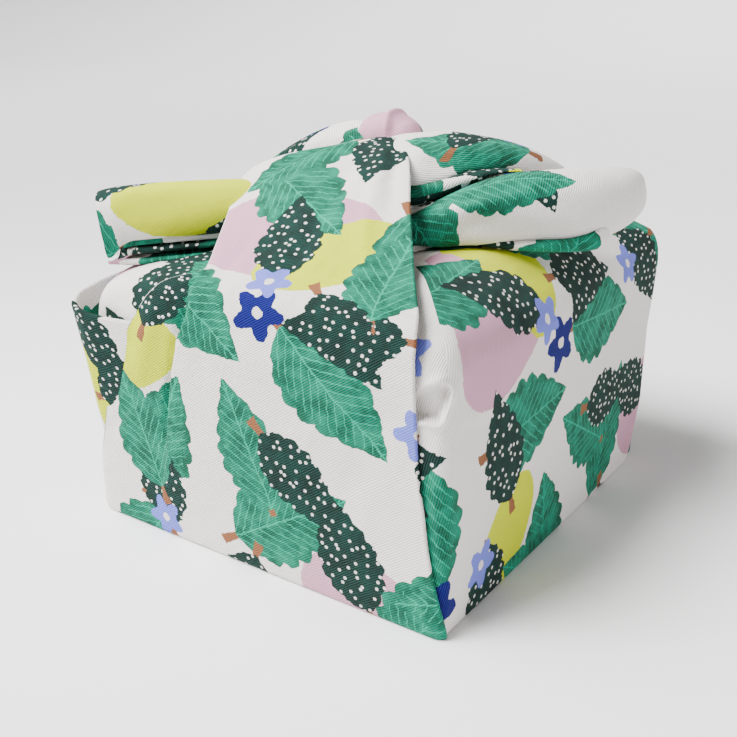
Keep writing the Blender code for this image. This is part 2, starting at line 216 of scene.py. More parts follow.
def bodyRow(side, height, inset):
    # one level of one side, from the middle of its first corner to the middle of its last
    first = halfArc(sideCorners[side][0], height, inset, True)
    last = halfArc(sideCorners[side][1], height, inset, False)
    run = last[0] - first[-1]
    outward = np.array([run[1], -run[0]]) / np.linalg.norm(run)
    before, share, after = parcel["sideSteps"][side]
    marks = np.linspace(0, share, before, endpoint=False)
    marks = np.concatenate([marks, np.linspace(share, 1, after + 1)])[1:-1]
    bow = bulgeAt(height) * np.sin(math.pi * marks) * (1 - smoothStep(inset, 0, parcel["bowInset"]))
    flat = np.vstack([first, first[-1] + run * marks[:, None] + outward * bow[:, None], last])

    pull = np.interp(height, parcel["pullHeights"], parcel["pull"]) * (inset <= parcel["pullInset"])
    keep = parcel["cornerKeep"] * min(inset, parcel["keepInset"]) * (inset < parcel["keepUntil"])
    halfW, halfD = halfSizes(inset)
    near = np.exp(-(np.hypot(flat[:, 0] - halfW, flat[:, 1] - halfD) / parcel["pullReach"]) ** 2)
    flat = flat + near[:, None] * np.array([parcel["pullSideways"] * pull + keep, pull + keep])

    away = np.hypot(flat[:, 0] + parcel["width"] / 2, flat[:, 1] + parcel["depth"] / 2)
    late = (height / parcel["height"]) ** parcel["sagPower"]
    sag = parcel["cornerSag"] * np.exp(-(away / parcel["sagReach"]) ** 2) * late
    lift = smoothStep(flat[:, 0], *parcel["liftAcross"]) * smoothStep(inset, *parcel["liftInset"])
    return np.column_stack([flat, height - sag + parcel["rightLift"] * lift])


# the pinched hollow where the flap's edge pulls at the front right corner
dimple = {
    "facing": 34.8,                              # degrees from the front toward the right
    # its outline: height, and how far right its rim lies seen from there
    "rim": (
        (84.0, 16.4), (86.6, 17.0), (90.0, 18.4), (93.5, 19.8), (97.0, 20.6), (100.0, 20.2), (102.0, 18.0),
    ),
    # how far right, and its top's height, mm
    "top": (
        (6.0, 95.5), (8.3, 97.4), (11.4, 99.6), (14.1, 100.8), (16.6, 102.0), (18.6, 101.8), (21.0, 100.5),
    ),
    "depth": 6.0, "spread": 15.0, "spreadLoss": 0.7,
    "rimLies": 0.4, "rimHeight": 1.4, "rimWidth": 1.0,
    "topLies": 0.6, "topWidth": 1.6,
    "ledge": 86.6, "ledgeLies": 1.2, "ledgeHeight": 1.2, "ledgeWidth": 1.3,
    # from where to where each part comes in, mm
    "insideSpan": (0.2, 1.6), "belowSpan": (0, 5.0), "aboveLedge": (-0.5, 0.5), "rightSpan": (66, 74),
    "rimHeights": (83, 87.5), "rimBelow": (-2.5, 0.5),
    "topRight": (8, 14), "topInside": (-1.5, 1.0),
    "ledgeInside": (-1.0, 1.5), "ledgeRight": (70, 78),
    "rightOf": 60, "inFrontOf": -70,             # it touches nothing outside these, mm
}


def pinchHollow(points):
    x, y, z = points[..., 0], points[..., 1], points[..., 2]
    facing = math.radians(dimple["facing"])
    inward = np.array([-math.sin(facing), math.cos(facing), 0])
    right = x * math.cos(facing) + y * math.sin(facing)
    inside = np.interp(z, *zip(*dimple["rim"])) - right
    below = np.interp(right, *zip(*dimple["top"])) - z
    above = z - dimple["ledge"]

    slope = 1 - dimple["spreadLoss"] * np.clip(inside / dimple["spread"], 0, 1)
    level = smoothStep(below, *dimple["belowSpan"]) * smoothStep(above, *dimple["aboveLedge"])
    edge = smoothStep(inside, *dimple["insideSpan"]) * smoothStep(x, *dimple["rightSpan"])
    push = dimple["depth"] * slope * level * edge

    rim = np.exp(-((inside + dimple["rimLies"]) / dimple["rimWidth"]) ** 2)
    rim = rim * smoothStep(z, *dimple["rimHeights"]) * smoothStep(below, *dimple["rimBelow"])
    top = np.exp(-((below + dimple["topLies"]) / dimple["topWidth"]) ** 2)
    top = top * smoothStep(right, *dimple["topRight"]) * smoothStep(inside, *dimple["topInside"])
    push -= dimple["rimHeight"] * np.maximum(rim, top)

    ledge = np.exp(-((above + dimple["ledgeLies"]) / dimple["ledgeWidth"]) ** 2)
    ledge = ledge * smoothStep(inside, *dimple["ledgeInside"]) * smoothStep(x, *dimple["ledgeRight"])
    push -= dimple["ledgeHeight"] * ledge
    touched = (y < dimple["inFrontOf"]) & (x > dimple["rightOf"])
    return points + (push * touched)[..., None] * inward


bodyCreases = {
    "right": (
        # path, width, height
        (((93, -95, 88), (95, -84, 84), (96, -66, 83)), 3.0, 0.5),
        (((93, -97, 100), (95, -84, 106), (92, -62, 112)), 4.0, 0.6),
        (((95, -92, 70), (96, -70, 60), (96, -40, 52)), 6.0, 0.4),
        (((94, 92, 112), (96, 70, 96), (96, 40, 84)), 7.0, -0.5),
        (((94, 96, 60), (96, 70, 52), (96, 30, 50)), 8.0, 0.4),
        (((94, 90, 20), (96, 60, 28), (96, 10, 30)), 8.0, -0.4),
        (((88, -60, 119), (80, -40, 123), (74, -10, 123)), 4.0, 0.9),
        (((90, 20, 118), (84, 40, 122), (76, 62, 123)), 4.0, 0.8),
    ),
    "front": (
        (((90, -101, 84), (88, -101, 60), (90, -101, 30)), 1.6, 0.5),
    ),
    "left": (
        (((-94, -60, 90), (-95, -20, 70), (-95, 30, 64)), 7.0, 0.5),
        (((-94, 60, 100), (-95, 20, 84), (-95, -20, 80)), 6.0, -0.5),
    ),
    "back": (
        (((-80, 101, 100), (-40, 102, 80), (10, 102, 70)), 7.0, 0.5),
    ),
}


def layBody():
    profile = curveThrough([row[:2] for row in parcel["rows"]], [row[2] for row in parcel["rows"]])
    profile[:, 0] = np.maximum(profile[:, 0], 0)
    grids = {side: np.array([bodyRow(side, *level) for level in profile]) for side in sideCorners}
    # off the upright wall, the print keeps the lengths of the nearest upright row
    wall = parcel["wallRows"]
    upright = np.flatnonzero((profile[:, 1] < wall["insetBelow"]) & (profile[:, 0] > wall["heightAbove"]))
    nearest = np.clip(np.arange(len(profile)), upright[0], upright[-1])
    half = {side: lengthsAlong(grid, 1)[nearest, -1:] / 2 for side, grid in grids.items()}
    # the print runs on round every corner but the front left one, which the pocket hides
    middle = {"right": 0 * half["right"], "back": half["right"] + half["back"]}
    middle["left"] = middle["back"] + half["back"] + half["left"]
    middle["front"] = -half["right"] - half["front"]
    climb = lengthsAlong(grids["right"], 0)
    climb = climb[:, climb.shape[1] // 2, None]
    for side, grid in grids.items():
        across = lengthsAlong(grid, 1)
        across = across - across[:, -1:] / 2 + middle[side]
        grid = creased(pinchHollow(grid), bodyCreases[side])
        layPatch(grid, across, climb * np.ones_like(across), parcel)


layBody()
print("body laid")


# the two flaps that run up to the knot

flapEdges = {
    "radius": 0.9, "steps": 6,                   # of the fold along an edge, mm
    # columns crowd toward both edges: how many, over which share, and where the others end
    "crowd": 7, "crowdShare": 0.08, "lastColumn": 0.96,
    # the share of the ridge's height that stays right of it, and the distance over which the edge sinks
    "ridgeKept": 0.35, "edgeFade": 30,
    "lowest": 0.2,
}

frontFlap = {
    "wall": (
        # height, left, right, ridge, rise, step, steps to the next row
        (0.3, -98.0, 93.5, -51, 0.0, 0.9, 3),
        (4.0, -97.5, 92.8, -50, 0.3, 1.9, 5),
        (20.0, -92.0, 89.5, -45.5, 1.0, 2.1, 6),
        (36.0, -85.5, 86.0, -41.9, 1.8, 2.1, 6),
        (50.0, -81.5, 84.0, -38.7, 2.5, 2.1, 6),
        (62.0, -77.8, 82.0, -36.5, 3.2, 2.1, 6),
        (74.0, -72.7, 80.8, -33.8, 3.8, 2.2, 6),
        (86.0, -66.3, 80.0, -30.3, 4.2, 2.4, 6),
        (98.0, -58.2, 79.5, -26.7, 4.4, 2.8, 6),
    ),
    "tent": (
        # left x, y, z, right x, y, z, crown, ridge, rise, steps to the next row
        (-50.0, -102.0, 109, 79.0, -102.6, 109, 0.4, 0.217, 4.2, 4),
        (-46.0, -101.4, 113, 79.0, -101.9, 113, 0.6, 0.186, 3.8, 4),
        (-41.0, -99.8, 117, 78.6, -100.8, 117, 0.8, 0.158, 3.2, 4),
        (-32.5, -97.0, 120.3, 77.2, -97.6, 120.5, 1.0, 0.092, 2.4, 3),
        (-25.0, -93.2, 122.9, 75.6, -94.4, 122.9, 1.3, 0.035, 1.6, 3),
        (-26.2, -88.0, 125.4, 72.6, -90.6, 125.4, 1.6, 0.03, 0.8, 4),
        (-30.0, -81.0, 128.6, 68.2, -84.7, 128.8, 1.9, 0.03, 0.4, 5),
        (-34.4, -72.6, 132.6, 61.5, -75.5, 133.5, 2.3, 0.03, 0.2, 6),
        (-40.0, -60.6, 140, 52.0, -62.0, 142.0, 2.8, 0.03, 0.0, 6),
        (-46, -48.0, 148.5, 42.5, -48.5, 149.5, 3.0, 0.05, 0.0, 6),
        (-46, -36.0, 155, 33.5, -34.5, 156.5, 3.2, 0.05, 0.0, 5),
        (-38, -25.0, 159.5, 25.0, -22.0, 162.0, 2.8, 0.05, 0.0, 5),
        (-24, -15.0, 163.0, 17.0, -12.0, 165.5, 2.0, 0.05, 0.0, 5),
        (-9, -9.0, 166.5, 11.0, -5.0, 167.5, 1.2, 0.05, 0.0, 1),
    ),
    "corners": {"right": (3.5, 5.0, 6.5, 8.0, 9.0), "left": (8.0, 9.0, 10.0, 11.0, 12.0)},
    # columns: from a share, to a share, how many
    "columns": ((0.04, 0.14, 9), (0.14, 0.30, 34), (0.30, 0.96, 54)),
    "foldWidth": 4.5, "foldShare": 0.036,        # mm, or share of a row, over which the pleat drops
    "creases": (
        # path, width, height
        (((-16, -60, 150), (-14, -84, 132), (-12, -104, 104), (-18, -105, 70)), 5.0, -1.2),
        (((-26.5, -100.5, 118), (-27.5, -104, 109), (-31.4, -104.5, 98), (-35, -104.5, 86),
          (-38.4, -104.5, 74), (-41.2, -104, 62), (-43.5, -103.5, 50)), 2.6, -3.0),
        (((-37, -100, 117), (-44, -104, 105), (-49, -104, 93), (-54, -104, 79), (-58, -103, 64)), 7.0, 2.4),
        (((2, -14, 168), (8, -50, 152), (14, -86, 130), (20, -103, 100)), 5.0, -1.3),
        (((-12, -12, 168), (-14, -40, 158), (-12, -76, 137), (-6, -100, 116)), 4.0, 1.1),
        (((8, -8, 169), (20, -36, 158), (34, -66, 142), (52, -92, 126)), 4.0, 1.2),
        (((10, -8, 168), (24, -32, 160), (40, -56, 146)), 3.0, -1.1),
        (((-14, -10, 168), (-28, -26, 162), (-36, -46, 152)), 3.5, -1.3),
        (((70, -101, 112), (50, -103, 90), (30, -104, 60)), 6.0, 0.8),
        (((60, -103, 60), (30, -104, 44), (-10, -104, 34)), 7.0, -0.8),
        (((76, -102, 92), (60, -103, 72), (50, -103, 40)), 5.0, -0.7),
        (((-60, -103, 84), (-66, -103, 60), (-76, -102, 30)), 5.0, 0.9),
        (((-56, -103, 70), (-70, -103, 52), (-84, -102, 40)), 3.5, -1.0),
    ),
    "side": 1, "shift": (95, 60), "turn": 10,
}
# its rows are laid out as the front flap's
backFlap = {
    "wall": (
        (0.3, -90.0, 99.0, 40, 0.0, 0.9, 3),
        (4.0, -89.5, 99.0, 40, 0.2, 1.9, 4),
        (22.0, -87.0, 97.0, 42, 0.5, 2.1, 5),
        (42.0, -84.0, 90.0, 42, 1.0, 2.1, 5),
        (62.0, -81.0, 81.0, 40, 1.8, 2.1, 5),
        (82.0, -78.0, 70.0, 36, 2.4, 2.2, 4),
        (98.0, -76.0, 60.0, 34, 2.6, 2.6, 3),
    ),
    "tent": (
        (-75, -102.6, 109, 54, -102.6, 109, 0.4, 0.80, 2.4, 3),
        (-74, -100.6, 117, 50, -100.6, 117, 1.0, 0.80, 1.8, 3),
        (-71, -93.0, 122.5, 47, -93.0, 122.5, 1.5, 0.80, 1.0, 3),
        (-65, -81.0, 128, 45, -81.0, 128, 2.5, 0.80, 0.5, 4),
        (-57, -67.0, 136.5, 42, -67.0, 136.5, 3.5, 0.80, 0.0, 4),
        (-48, -52.0, 147, 38, -52.0, 147, 4.0, 0.80, 0.0, 4),
        (-37, -38.0, 155, 31, -37.0, 155, 4.0, 0.80, 0.0, 3),
        (-25, -25.0, 161, 22, -24.0, 161, 3.0, 0.80, 0.0, 3),
        (-12, -14.0, 165, 11, -13.0, 165, 2.0, 0.80, 0.0, 1),
    ),
    "corners": {"right": (10.0, 10.0, 10.0, 11.0, 12.0), "left": (12.0, 9.0, 7.0, 5.0, 4.5)},
    "columns": ((0.04, 0.96, 36),),
    "foldWidth": 200, "foldShare": 1.0,          # no pleat: it slopes all the way
    "creases": (
        (((-6, -16, 166), (-14, -50, 150), (-20, -90, 126), (-24, -104, 90)), 5.0, -1.0),
        (((4, -16, 166), (10, -50, 150), (16, -88, 127), (18, -104, 96)), 5.0, 0.9),
        (((-12, -18, 164), (-34, -48, 149), (-50, -84, 128)), 4.0, 0.8),
        (((60, -104, 60), (20, -105, 44), (-30, -104, 34)), 7.0, -0.5),
    ),
    "side": -1, "shift": (300, 150), "turn": 40,
}


def wallPoints(along, height, corners):
    # points on the front wall 'along' from its middle, going round a corner past its end
    side = np.where(along >= 0, 1, -1)
    radius = np.where(along >= 0, np.interp(height, parcel["radiusHeights"], corners["right"]),
                      np.interp(height, parcel["radiusHeights"], corners["left"]))
    halfW, halfD = halfSizes(0)
    straight = halfW - radius
    length = np.abs(along)
    bow = bulgeAt(height) * np.cos(math.pi / 2 * np.clip(length / halfW, 0, 1)) ** parcel["bowFullness"]
    turn = np.clip((length - straight) / radius, 0, math.pi / 2)
    past = np.maximum(length - straight - radius * math.pi / 2, 0)
    x = np.where(length <= straight, along, side * (straight + radius * np.sin(turn)))
    y = np.where(length <= straight, -halfD - bow, -halfD + radius * (1 - np.cos(turn)) + past)
    return np.stack([x, y, np.full_like(x, height)], axis=-1)


def flapGrid(flap):
    # the flap's outer face and its place on the flat cloth
    ends = smoothStep(np.linspace(0, 0.5, flapEdges["crowd"]))[:-1] * flapEdges["crowdShare"]
    middle = [np.linspace(start, stop, count, endpoint=False) for start, stop, count in flap["columns"]]
    marks = np.concatenate([ends, *middle, [flapEdges["lastColumn"]], 1 - ends[::-1]])
    rows, counts = [], []
    for height, left, right, ridge, rise, step, count in flap["wall"]:
        along = left + (right - left) * marks
        drop = smoothStep(1 - (ridge - along) / min(ridge - left, flap["foldWidth"]))
        decay = smoothStep(1 - (along - ridge) / (right - ridge))
        decay = flapEdges["ridgeKept"] + (1 - flapEdges["ridgeKept"]) * decay
        fade = smoothStep(right - along, 0, flapEdges["edgeFade"])
        lift = step + rise * np.where(along < ridge, drop, decay) * fade
        rows.append(np.column_stack([wallPoints(along, height, flap["corners"]), lift]))
        counts.append(count)
    for lx, ly, lz, rx, ry, rz, crown, ridge, rise, count in flap["tent"]:
        start, end = np.array((lx, ly, lz)), np.array((rx, ry, rz))
        drop = smoothStep(1 - (ridge - marks) / min(ridge, flap["foldShare"]))
        decay = smoothStep(1 - (marks - ridge) / (1 - ridge))
        lift = crown * np.sin(math.pi * marks) + rise * np.where(marks < ridge, drop, decay)
        rows.append(np.column_stack([start + (end - start) * marks[:, None], lift]))
        counts.append(count)
    table = np.array(rows)
    fine = curveThrough(table.reshape(len(table), -1), counts).reshape(-1, len(marks), 4)
    flat, lift = fine[..., :3], fine[..., 3:]
    grid = flat + gridNormals(flat) * lift
    grid[0, :, 2] = flat[0, :, 2]
    across = lengthsAlong(grid, 1)
    middle = grid.shape[1] // 2
    across = across - across[:, middle:middle + 1] + grid[:, middle:middle + 1, 0]
    up = lengthsAlong(grid, 0)[:, middle:middle + 1] * np.ones_like(across)
    return grid, across, up


def foldUnder(edge, outward, normal):
    # the half round fold from the outer face to the layer below
    radius = flapEdges["radius"]
    turns = np.linspace(0, math.pi, flapEdges["steps"] + 1)[1:-1]
    return np.stack([edge + outward * (radius * math.sin(turn)) - normal * (radius * (1 - math.cos(turn)))
                     for turn in turns], axis=1)


def layFlap(flap):
    # the flap's outer face, both edges folded under, and the layer below: one flat tube of cloth
    grid, across, up = flapGrid(flap)
    grid = creased(grid, flap["creases"])
    normals = gridNormals(grid)
    rightFold = foldUnder(grid[:, -1], unit(grid[:, -1] - grid[:, -2]), normals[:, -1])
    leftFold = foldUnder(grid[:, 0], unit(grid[:, 0] - grid[:, 1]), normals[:, 0])[:, ::-1]
    # every third column is enough for the layer below
    below = grid - normals * 2 * flapEdges["radius"]
    whole = np.concatenate([grid, rightFold, below[:, ::-3], below[:, :1], leftFold, grid[:, :1]], axis=1)
    whole[..., 2] = np.maximum(whole[..., 2], flapEdges["lowest"])
    beyond = lengthsAlong(whole, 1)
    outer = grid.shape[1]
    across = np.concatenate([across, across[:, -1:] + beyond[:, outer:] - beyond[:, outer - 1:outer]], axis=1)
    up = np.concatenate([up, np.repeat(up[:, :1], whole.shape[1] - outer, axis=1)], axis=1)
    layPatch(whole * np.array([flap["side"], flap["side"], 1]), across, up, flap)


# the cloth that hangs under the front flap's right edge and closes the hollow there
underFlap = {
    "rows": (4, 13), "rowSteps": 6,              # the flap's own rows that it hangs from
    "fromEdge": (-7.0, 2.0, -2.8),               # mm
    "foot": 119.0, "footOut": (3.0, 1.0, 0.0), "bulge": (3.0, 1.2, 0.0), "steps": 12,
    "shift": (330, 260), "turn": 60,
}


def layUnderFlap(piece):
    first, last = piece["rows"]
    edge = np.array([row[3:6] for row in frontFlap["tent"][first:last]])
    head = curveThrough(edge + np.array(piece["fromEdge"]), piece["rowSteps"])
    foot = head + np.array(piece["footOut"])
    foot[:, 2] = piece["foot"]
    fall = np.linspace(0, 1, piece["steps"])[:, None, None]
    hanging = head + (foot - head) * fall + np.sin(math.pi * fall) * np.array(piece["bulge"])
    layPatch(hanging, lengthsAlong(hanging, 1), lengthsAlong(hanging, 0), piece)


layFlap(frontFlap)
layFlap(backFlap)
layUnderFlap(underFlap)
print("flaps laid")


# the loose corner that stands open as a pocket

pocket = {
    "start": 34, "rimFront": 97.5,                   # mm above the floor
    # the rim's height along its way round from the flap
    "rim": (
        (0, 95.6), (0.25, 96.4), (0.38, 97.8), (0.48, 100.6), (0.60, 104.2), (0.80, 107.8), (1.0, 110.0),
    ),
    # how far it stands off the wall, and how late up the wall and round the corner it does
    "flare": 9.0, "flarePower": 1.3, "flareRound": 1.5,
    "hidden": 0.4, "emerges": 20,                    # it starts behind the wall and comes out as it climbs
    "reachFront": 45, "reachSide": 48,
    "insideDepth": 34,
    "columns": 64, "rows": 24, "rimSteps": 8, "printColumn": 30,
    "rimRadius": 1.35,
    "shift": (215, 330), "turn": 20,
}


def pocketPoints(height, t, inward):
    above = height - pocket["start"]
    share = np.clip(above / (pocket["rimFront"] - pocket["start"]), 0, 1)
    flare = pocket["flare"] * share ** pocket["flarePower"]
    along = pocket["reachFront"] - parcel["width"] / 2 - t * (pocket["reachFront"] + pocket["reachSide"])
    emerge = pocket["hidden"] * (2 * np.clip(above / pocket["emerges"], 0, 1) - 1)
    out = flare * np.sin(math.pi * t) ** pocket["flareRound"] + emerge - inward
    corners = frontFlap["corners"]
    # outward is square to the way along the wall, taken over 1 mm
    ahead = wallPoints(along - 0.5, height, corners) - wallPoints(along + 0.5, height, corners)
    outward = unit(np.stack([ahead[:, 1], -ahead[:, 0], np.zeros(len(t))], axis=-1))
    outward = outward * np.sign((outward * np.array([-1, -1, 0])).sum(-1, keepdims=True))
    return wallPoints(along, height, corners) + outward * out[:, None]


def layPocket(piece):
    # its outer layer, a rolled rim and the layer inside
    marks = np.linspace(0, 1, piece["columns"])
    rimHeight = np.interp(marks, *zip(*piece["rim"]))
    start, front, inside = piece["start"], piece["rimFront"], piece["insideDepth"]
    outer, inner = [], []
    for share in np.linspace(0, 1, piece["rows"]):
        outer.append(pocketPoints(start + (front - start) * share, marks, 0))
        outer[-1][:, 2] = start + (rimHeight - start) * share
        inner.append(pocketPoints(front - inside * share, marks, 2 * piece["rimRadius"]))
        inner[-1][:, 2] = rimHeight - inside * share
    middle, half = (outer[-1] + inner[0]) / 2, (outer[-1] - inner[0]) / 2
    upward = straightUp * np.linalg.norm(half, axis=1)[:, None]
    turns = np.linspace(0, math.pi, piece["rimSteps"])[1:-1]
    rim = [middle + half * math.cos(turn) + upward * math.sin(turn) for turn in turns]
    grid = np.array(outer + rim + inner)[:, ::-1]
    across, up = lengthsAlong(grid, 1), lengthsAlong(grid, 0)
    up = up[:, piece["printColumn"], None] * np.ones_like(across)
    layPatch(grid, across, up, piece)


layPocket(pocket)
print("pocket laid")


# rolled ends, gathered fans and folds

leastHalf = 0.3              # mm, so that no roll closes to a line


def ovalRing(turns, squareness):
    # across and up, round a squared oval with half sizes of 1
    c, s = np.cos(turns), np.sin(turns)
    roundOut = (np.abs(c) ** squareness + np.abs(s) ** squareness) ** (-1 / squareness)
    return c * roundOut, s * roundOut


def rollGrid(piece):
    # squared ovals along a path; the print's own edge lies at the start angle round them, in degrees
    path = curveThrough(piece["rows"], piece["steps"])
    ahead = np.gradient(path[:, :3], axis=0)
    sideways = unit(np.stack([ahead[:, 1], -ahead[:, 0], np.zeros(len(ahead))], axis=-1))
    up = unit(np.cross(sideways, ahead))
    up = up * np.where(up[:, 2:] < 0, -1, 1)
    if piece.get("upright"):
        up = np.tile(straightUp, (len(path), 1))
    turns = np.radians(piece.get("start", 0) + np.linspace(0, 360, piece["around"]))
    ringAcross, ringUp = ovalRing(turns, piece["squareness"])
    halves = np.maximum(path[:, 3:], leastHalf)
    return np.array([row[:3] + side * (ringAcross * deep)[:, None] + rise * (ringUp * high)[:, None]
                     for row, side, rise, (high, deep) in zip(path, sideways, up, halves)])


def layRoll(piece):
    grid = creased(rollGrid(piece), piece.get("creases", ()))
    layAlong(grid, piece, grid.shape[1] // 2, centred=True)


leftEnd = {
    "rows": (
        # x, y, underside, top, how deep
        (-14, -20, 124.0, 151.0, 0.85),
        (-40, -41, 120.5, 150.6, 0.95),
        (-58, -55, 118.0, 150.0, 1.0),
        (-76, -68, 115.8, 149.0, 1.0),
        (-87, -76, 114.8, 147.6, 0.97),
        (-92, -79.4, 114.4, 146.4, 0.94),
        (-94.6, -81.2, 114.2, 145.4, 0.92),
    ),
    "steps": 9,
    "section": (
        # mm toward the front, share of the height, mm along the roll to the layer's end, and its drop there
        (11.0, 0.33, -2.0, 0.21), (12.8, 0.37, -1.8, 0.20), (13.8, 0.46, -1.2, 0.15),
        (14.0, 0.62, -0.4, 0.06), (12.6, 0.80, 1.0, 0.0),
        (8.6, 0.94, 1.8, 0.0), (2.0, 1.0, 2.4, 0.0), (-5.0, 0.98, 2.4, 0.0), (-10.4, 0.87, 2.0, 0.0),
        (-13.0, 0.65, 1.0, 0.0),
        (-13.0, 0.40, 0.0, 0.0), (-11.4, 0.15, -1.4, 0.0), (-7.0, 0.02, -1.8, -0.01),
        (2.0, -0.02, -2.2, -0.02), (9.6, -0.01, -2.2, -0.03),
        (13.2, 0.04, -2.4, -0.04), (11.8, 0.085, -5.0, -0.02), (7.0, 0.10, -8.0, 0.0),
        (-2.0, 0.10, -8.0, 0.0), (-7.6, 0.135, -8.0, 0.0),
        (-7.6, 0.175, -8.0, 0.0), (-1.0, 0.165, -8.0, 0.0), (7.4, 0.135, -8.0, 0.0),
        (11.6, 0.155, -8.5, 0.0), (12.4, 0.20, -8.5, 0.0),
        (9.6, 0.235, -8.0, 0.0), (0.0, 0.225, -8.0, 0.0), (-6.0, 0.25, -8.0, 0.0),
        (-5.6, 0.295, -8.0, 0.0), (2.0, 0.285, -8.0, 0.0),
        (8.2, 0.25, -8.5, 0.0), (10.8, 0.27, -9.0, 0.0), (11.0, 0.32, -9.0, 0.0), (8.0, 0.38, -9.0, 0.0),
        (-2.0, 0.42, -8.0, 0.0),
        (-8.0, 0.50, -8.0, 0.0), (-7.0, 0.62, -8.0, 0.0),
    ),
    "sectionSteps": 4, "outerSection": 13,       # the section's rows on the outside are the creased ones
    "endReach": 17, "edge": 0.7, "printColumn": 20,
    "creases": (
        (((-40, -60, 146), (-62, -74, 143), (-88, -90, 138)), 5.0, -0.7),
        (((-44, -56, 150), (-66, -72, 148), (-92, -88, 145)), 4.0, 0.6),
        (((-70, -84, 134), (-60, -76, 148), (-56, -62, 151)), 4.0, -0.6),
        (((-84, -92, 132), (-80, -86, 144), (-76, -74, 149)), 3.0, 0.35),
        (((-98, -92, 121), (-88, -89, 125), (-74, -82, 130)), 2.4, -0.7),
    ),
    "shift": (142, 617), "turn": 90,
}
rightEnd = {
    "rows": (
        # x, y, z, half height, half depth
        (8, -45, 134.6, 2.6, 4.0),
        (20, -43, 134.8, 2.6, 5.0),
        (32, -37.5, 135.4, 4.6, 7.5),
        (41, -30, 137.0, 7.6, 9.5),
        (48.5, -23.5, 139.5, 10.0, 10.5),
        (57, -15, 141.6, 12.4, 12.5),
        (68, -2.5, 143.6, 14.0, 14.0),
        (79.5, 11.5, 143.4, 14.8, 15.0),
        (87, 21.5, 143.6, 15.0, 14.0),
        (93.2, 31, 145.2, 13.6, 12.0),
        (97.2, 38, 147.0, 11.4, 9.4),
        (99.4, 42.6, 148.6, 8.4, 6.2),
        (100.4, 45.0, 149.4, 5.0, 3.2),
        (100.8, 45.8, 149.6, 0.8, 0.6),
    ),
    "around": 92, "steps": (5, 6, 8, 8, 8, 8, 8, 7, 6, 5, 4, 3, 2), "squareness": 2.6, "start": 180,
    "creases": (
        (((35, -31.5, 135), (45.6, -29.2, 140.3), (52, -28.4, 144.1), (61.5, -25.4, 147.1),
          (72, -18, 148.6)), 2.6, -2.6),
        (((35, -31.8, 139), (43, -31.1, 143.1), (51.3, -27.6, 148), (62, -22.7, 152.3),
          (74, -12, 155)), 3.0, 1.0),
        (((36, -33.4, 132.5), (46.7, -30.9, 135.8), (58.5, -27.5, 139.1), (72.3, -20.3, 141.9)), 3.0, 1.0),
        (((40, -36, 131), (54, -29, 132), (68, -20, 133.5), (78, -12, 136)), 2.4, -0.8),
        (((62, -24, 145), (78, -13, 143), (92, 4, 140), (97, 14, 138)), 4.0, -0.8),
        (((76, -8, 156), (88, 8, 154), (96, 22, 149)), 3.6, 0.9),
        (((84, 14, 157), (91, 24, 154), (97, 34, 148), (99, 40, 142)), 2.6, -1.2),
        (((84, 22, 158), (92, 34, 157), (97, 40, 156)), 2.0, 0.8),
    ),
    "shift": (424, 486), "turn": -20,
}
lowerLip = {
    # the layer that shows below the right end and curls up at its corner
    "rows": (
        # x, y, z, half height, half depth
        (52, -24, 132.2, 0.8, 3.0),
        (60, -19, 131.4, 1.6, 4.0),
        (68, -13.0, 130.4, 2.2, 5.0),
        (77, -5.6, 129.8, 2.6, 5.5),
        (85.4, 2.2, 129.4, 2.8, 5.5),
        (91.2, 8.4, 129.8, 3.4, 5.0),
        (95.0, 12.4, 131.2, 4.2, 4.2),
        (97.0, 14.8, 132.6, 4.2, 3.4),
        (98.2, 16.4, 133.4, 3.0, 2.2),
        (98.6, 17.0, 133.6, 0.6, 0.5),
    ),
    "around": 40, "steps": (4, 5, 5, 6, 6, 6, 5, 4, 3), "squareness": 2.2, "start": 180,
    "creases": (
        (((88.6, 2.4, 131), (93.4, 7.4, 132.4), (97.2, 12.8, 134.0)), 1.2, -0.9),
    ),
    "shift": (470, 330), "turn": 10,
}
# the fans and the knot have rows as the right end's
rightFan = {
    "rows": (
        (2, 10, 149, 14.0, 12.0),
        (24, 15, 143, 20.0, 15.0),
        (42, 25, 136, 24.0, 16.0),
        (54, 38, 127, 26.0, 16.0),
        (62, 50, 117, 24.0, 16.0),
        (69, 60, 108, 15.0, 16.0),
        (74, 67, 100, 8.0, 15.0),
    ),
    "around": 72, "steps": 8, "squareness": 2.0, "upright": True,
    "creases": (
        (((6, 8, 168), (30, 8, 170), (54, 22, 167), (68, 40, 148)), 3.0, 1.2),
        (((6, 14, 167), (30, 20, 168), (50, 32, 163), (64, 52, 142)), 3.0, -1.5),
        (((6, 20, 160), (26, 28, 160), (46, 44, 150), (58, 60, 130)), 3.0, 1.2),
    ),
    "shift": (560, 120), "turn": 60,
}
leftFan = {
    "rows": (
        (0, 6, 150, 19.0, 13.0),
        (-24, 6, 146, 26.0, 18.0),
        (-44, 3, 136, 30.0, 25.0),
        (-62, 2, 122, 32.0, 32.0),
        (-75, 2, 112, 25.0, 38.0),
        (-84, 3, 104, 15.0, 40.0),
        (-88, 3, 98, 8.0, 40.0),
    ),
    "around": 80, "steps": 8, "squareness": 2.0, "upright": True,
    "creases": (
        (((-6, -2, 167), (-26, -8, 168), (-48, -14, 158), (-66, -18, 142)), 3.0, -1.8),
        (((-6, 4, 170), (-28, 2, 173), (-48, -2, 166), (-68, -4, 148)), 3.0, 1.2),
        (((-6, 10, 170), (-28, 12, 171), (-48, 14, 163), (-68, 16, 146)), 3.0, -1.6),
        (((-6, 16, 164), (-26, 22, 163), (-46, 30, 150), (-64, 36, 132)), 3.0, 1.2),
    ),
    "shift": (640, 300), "turn": 110,
}
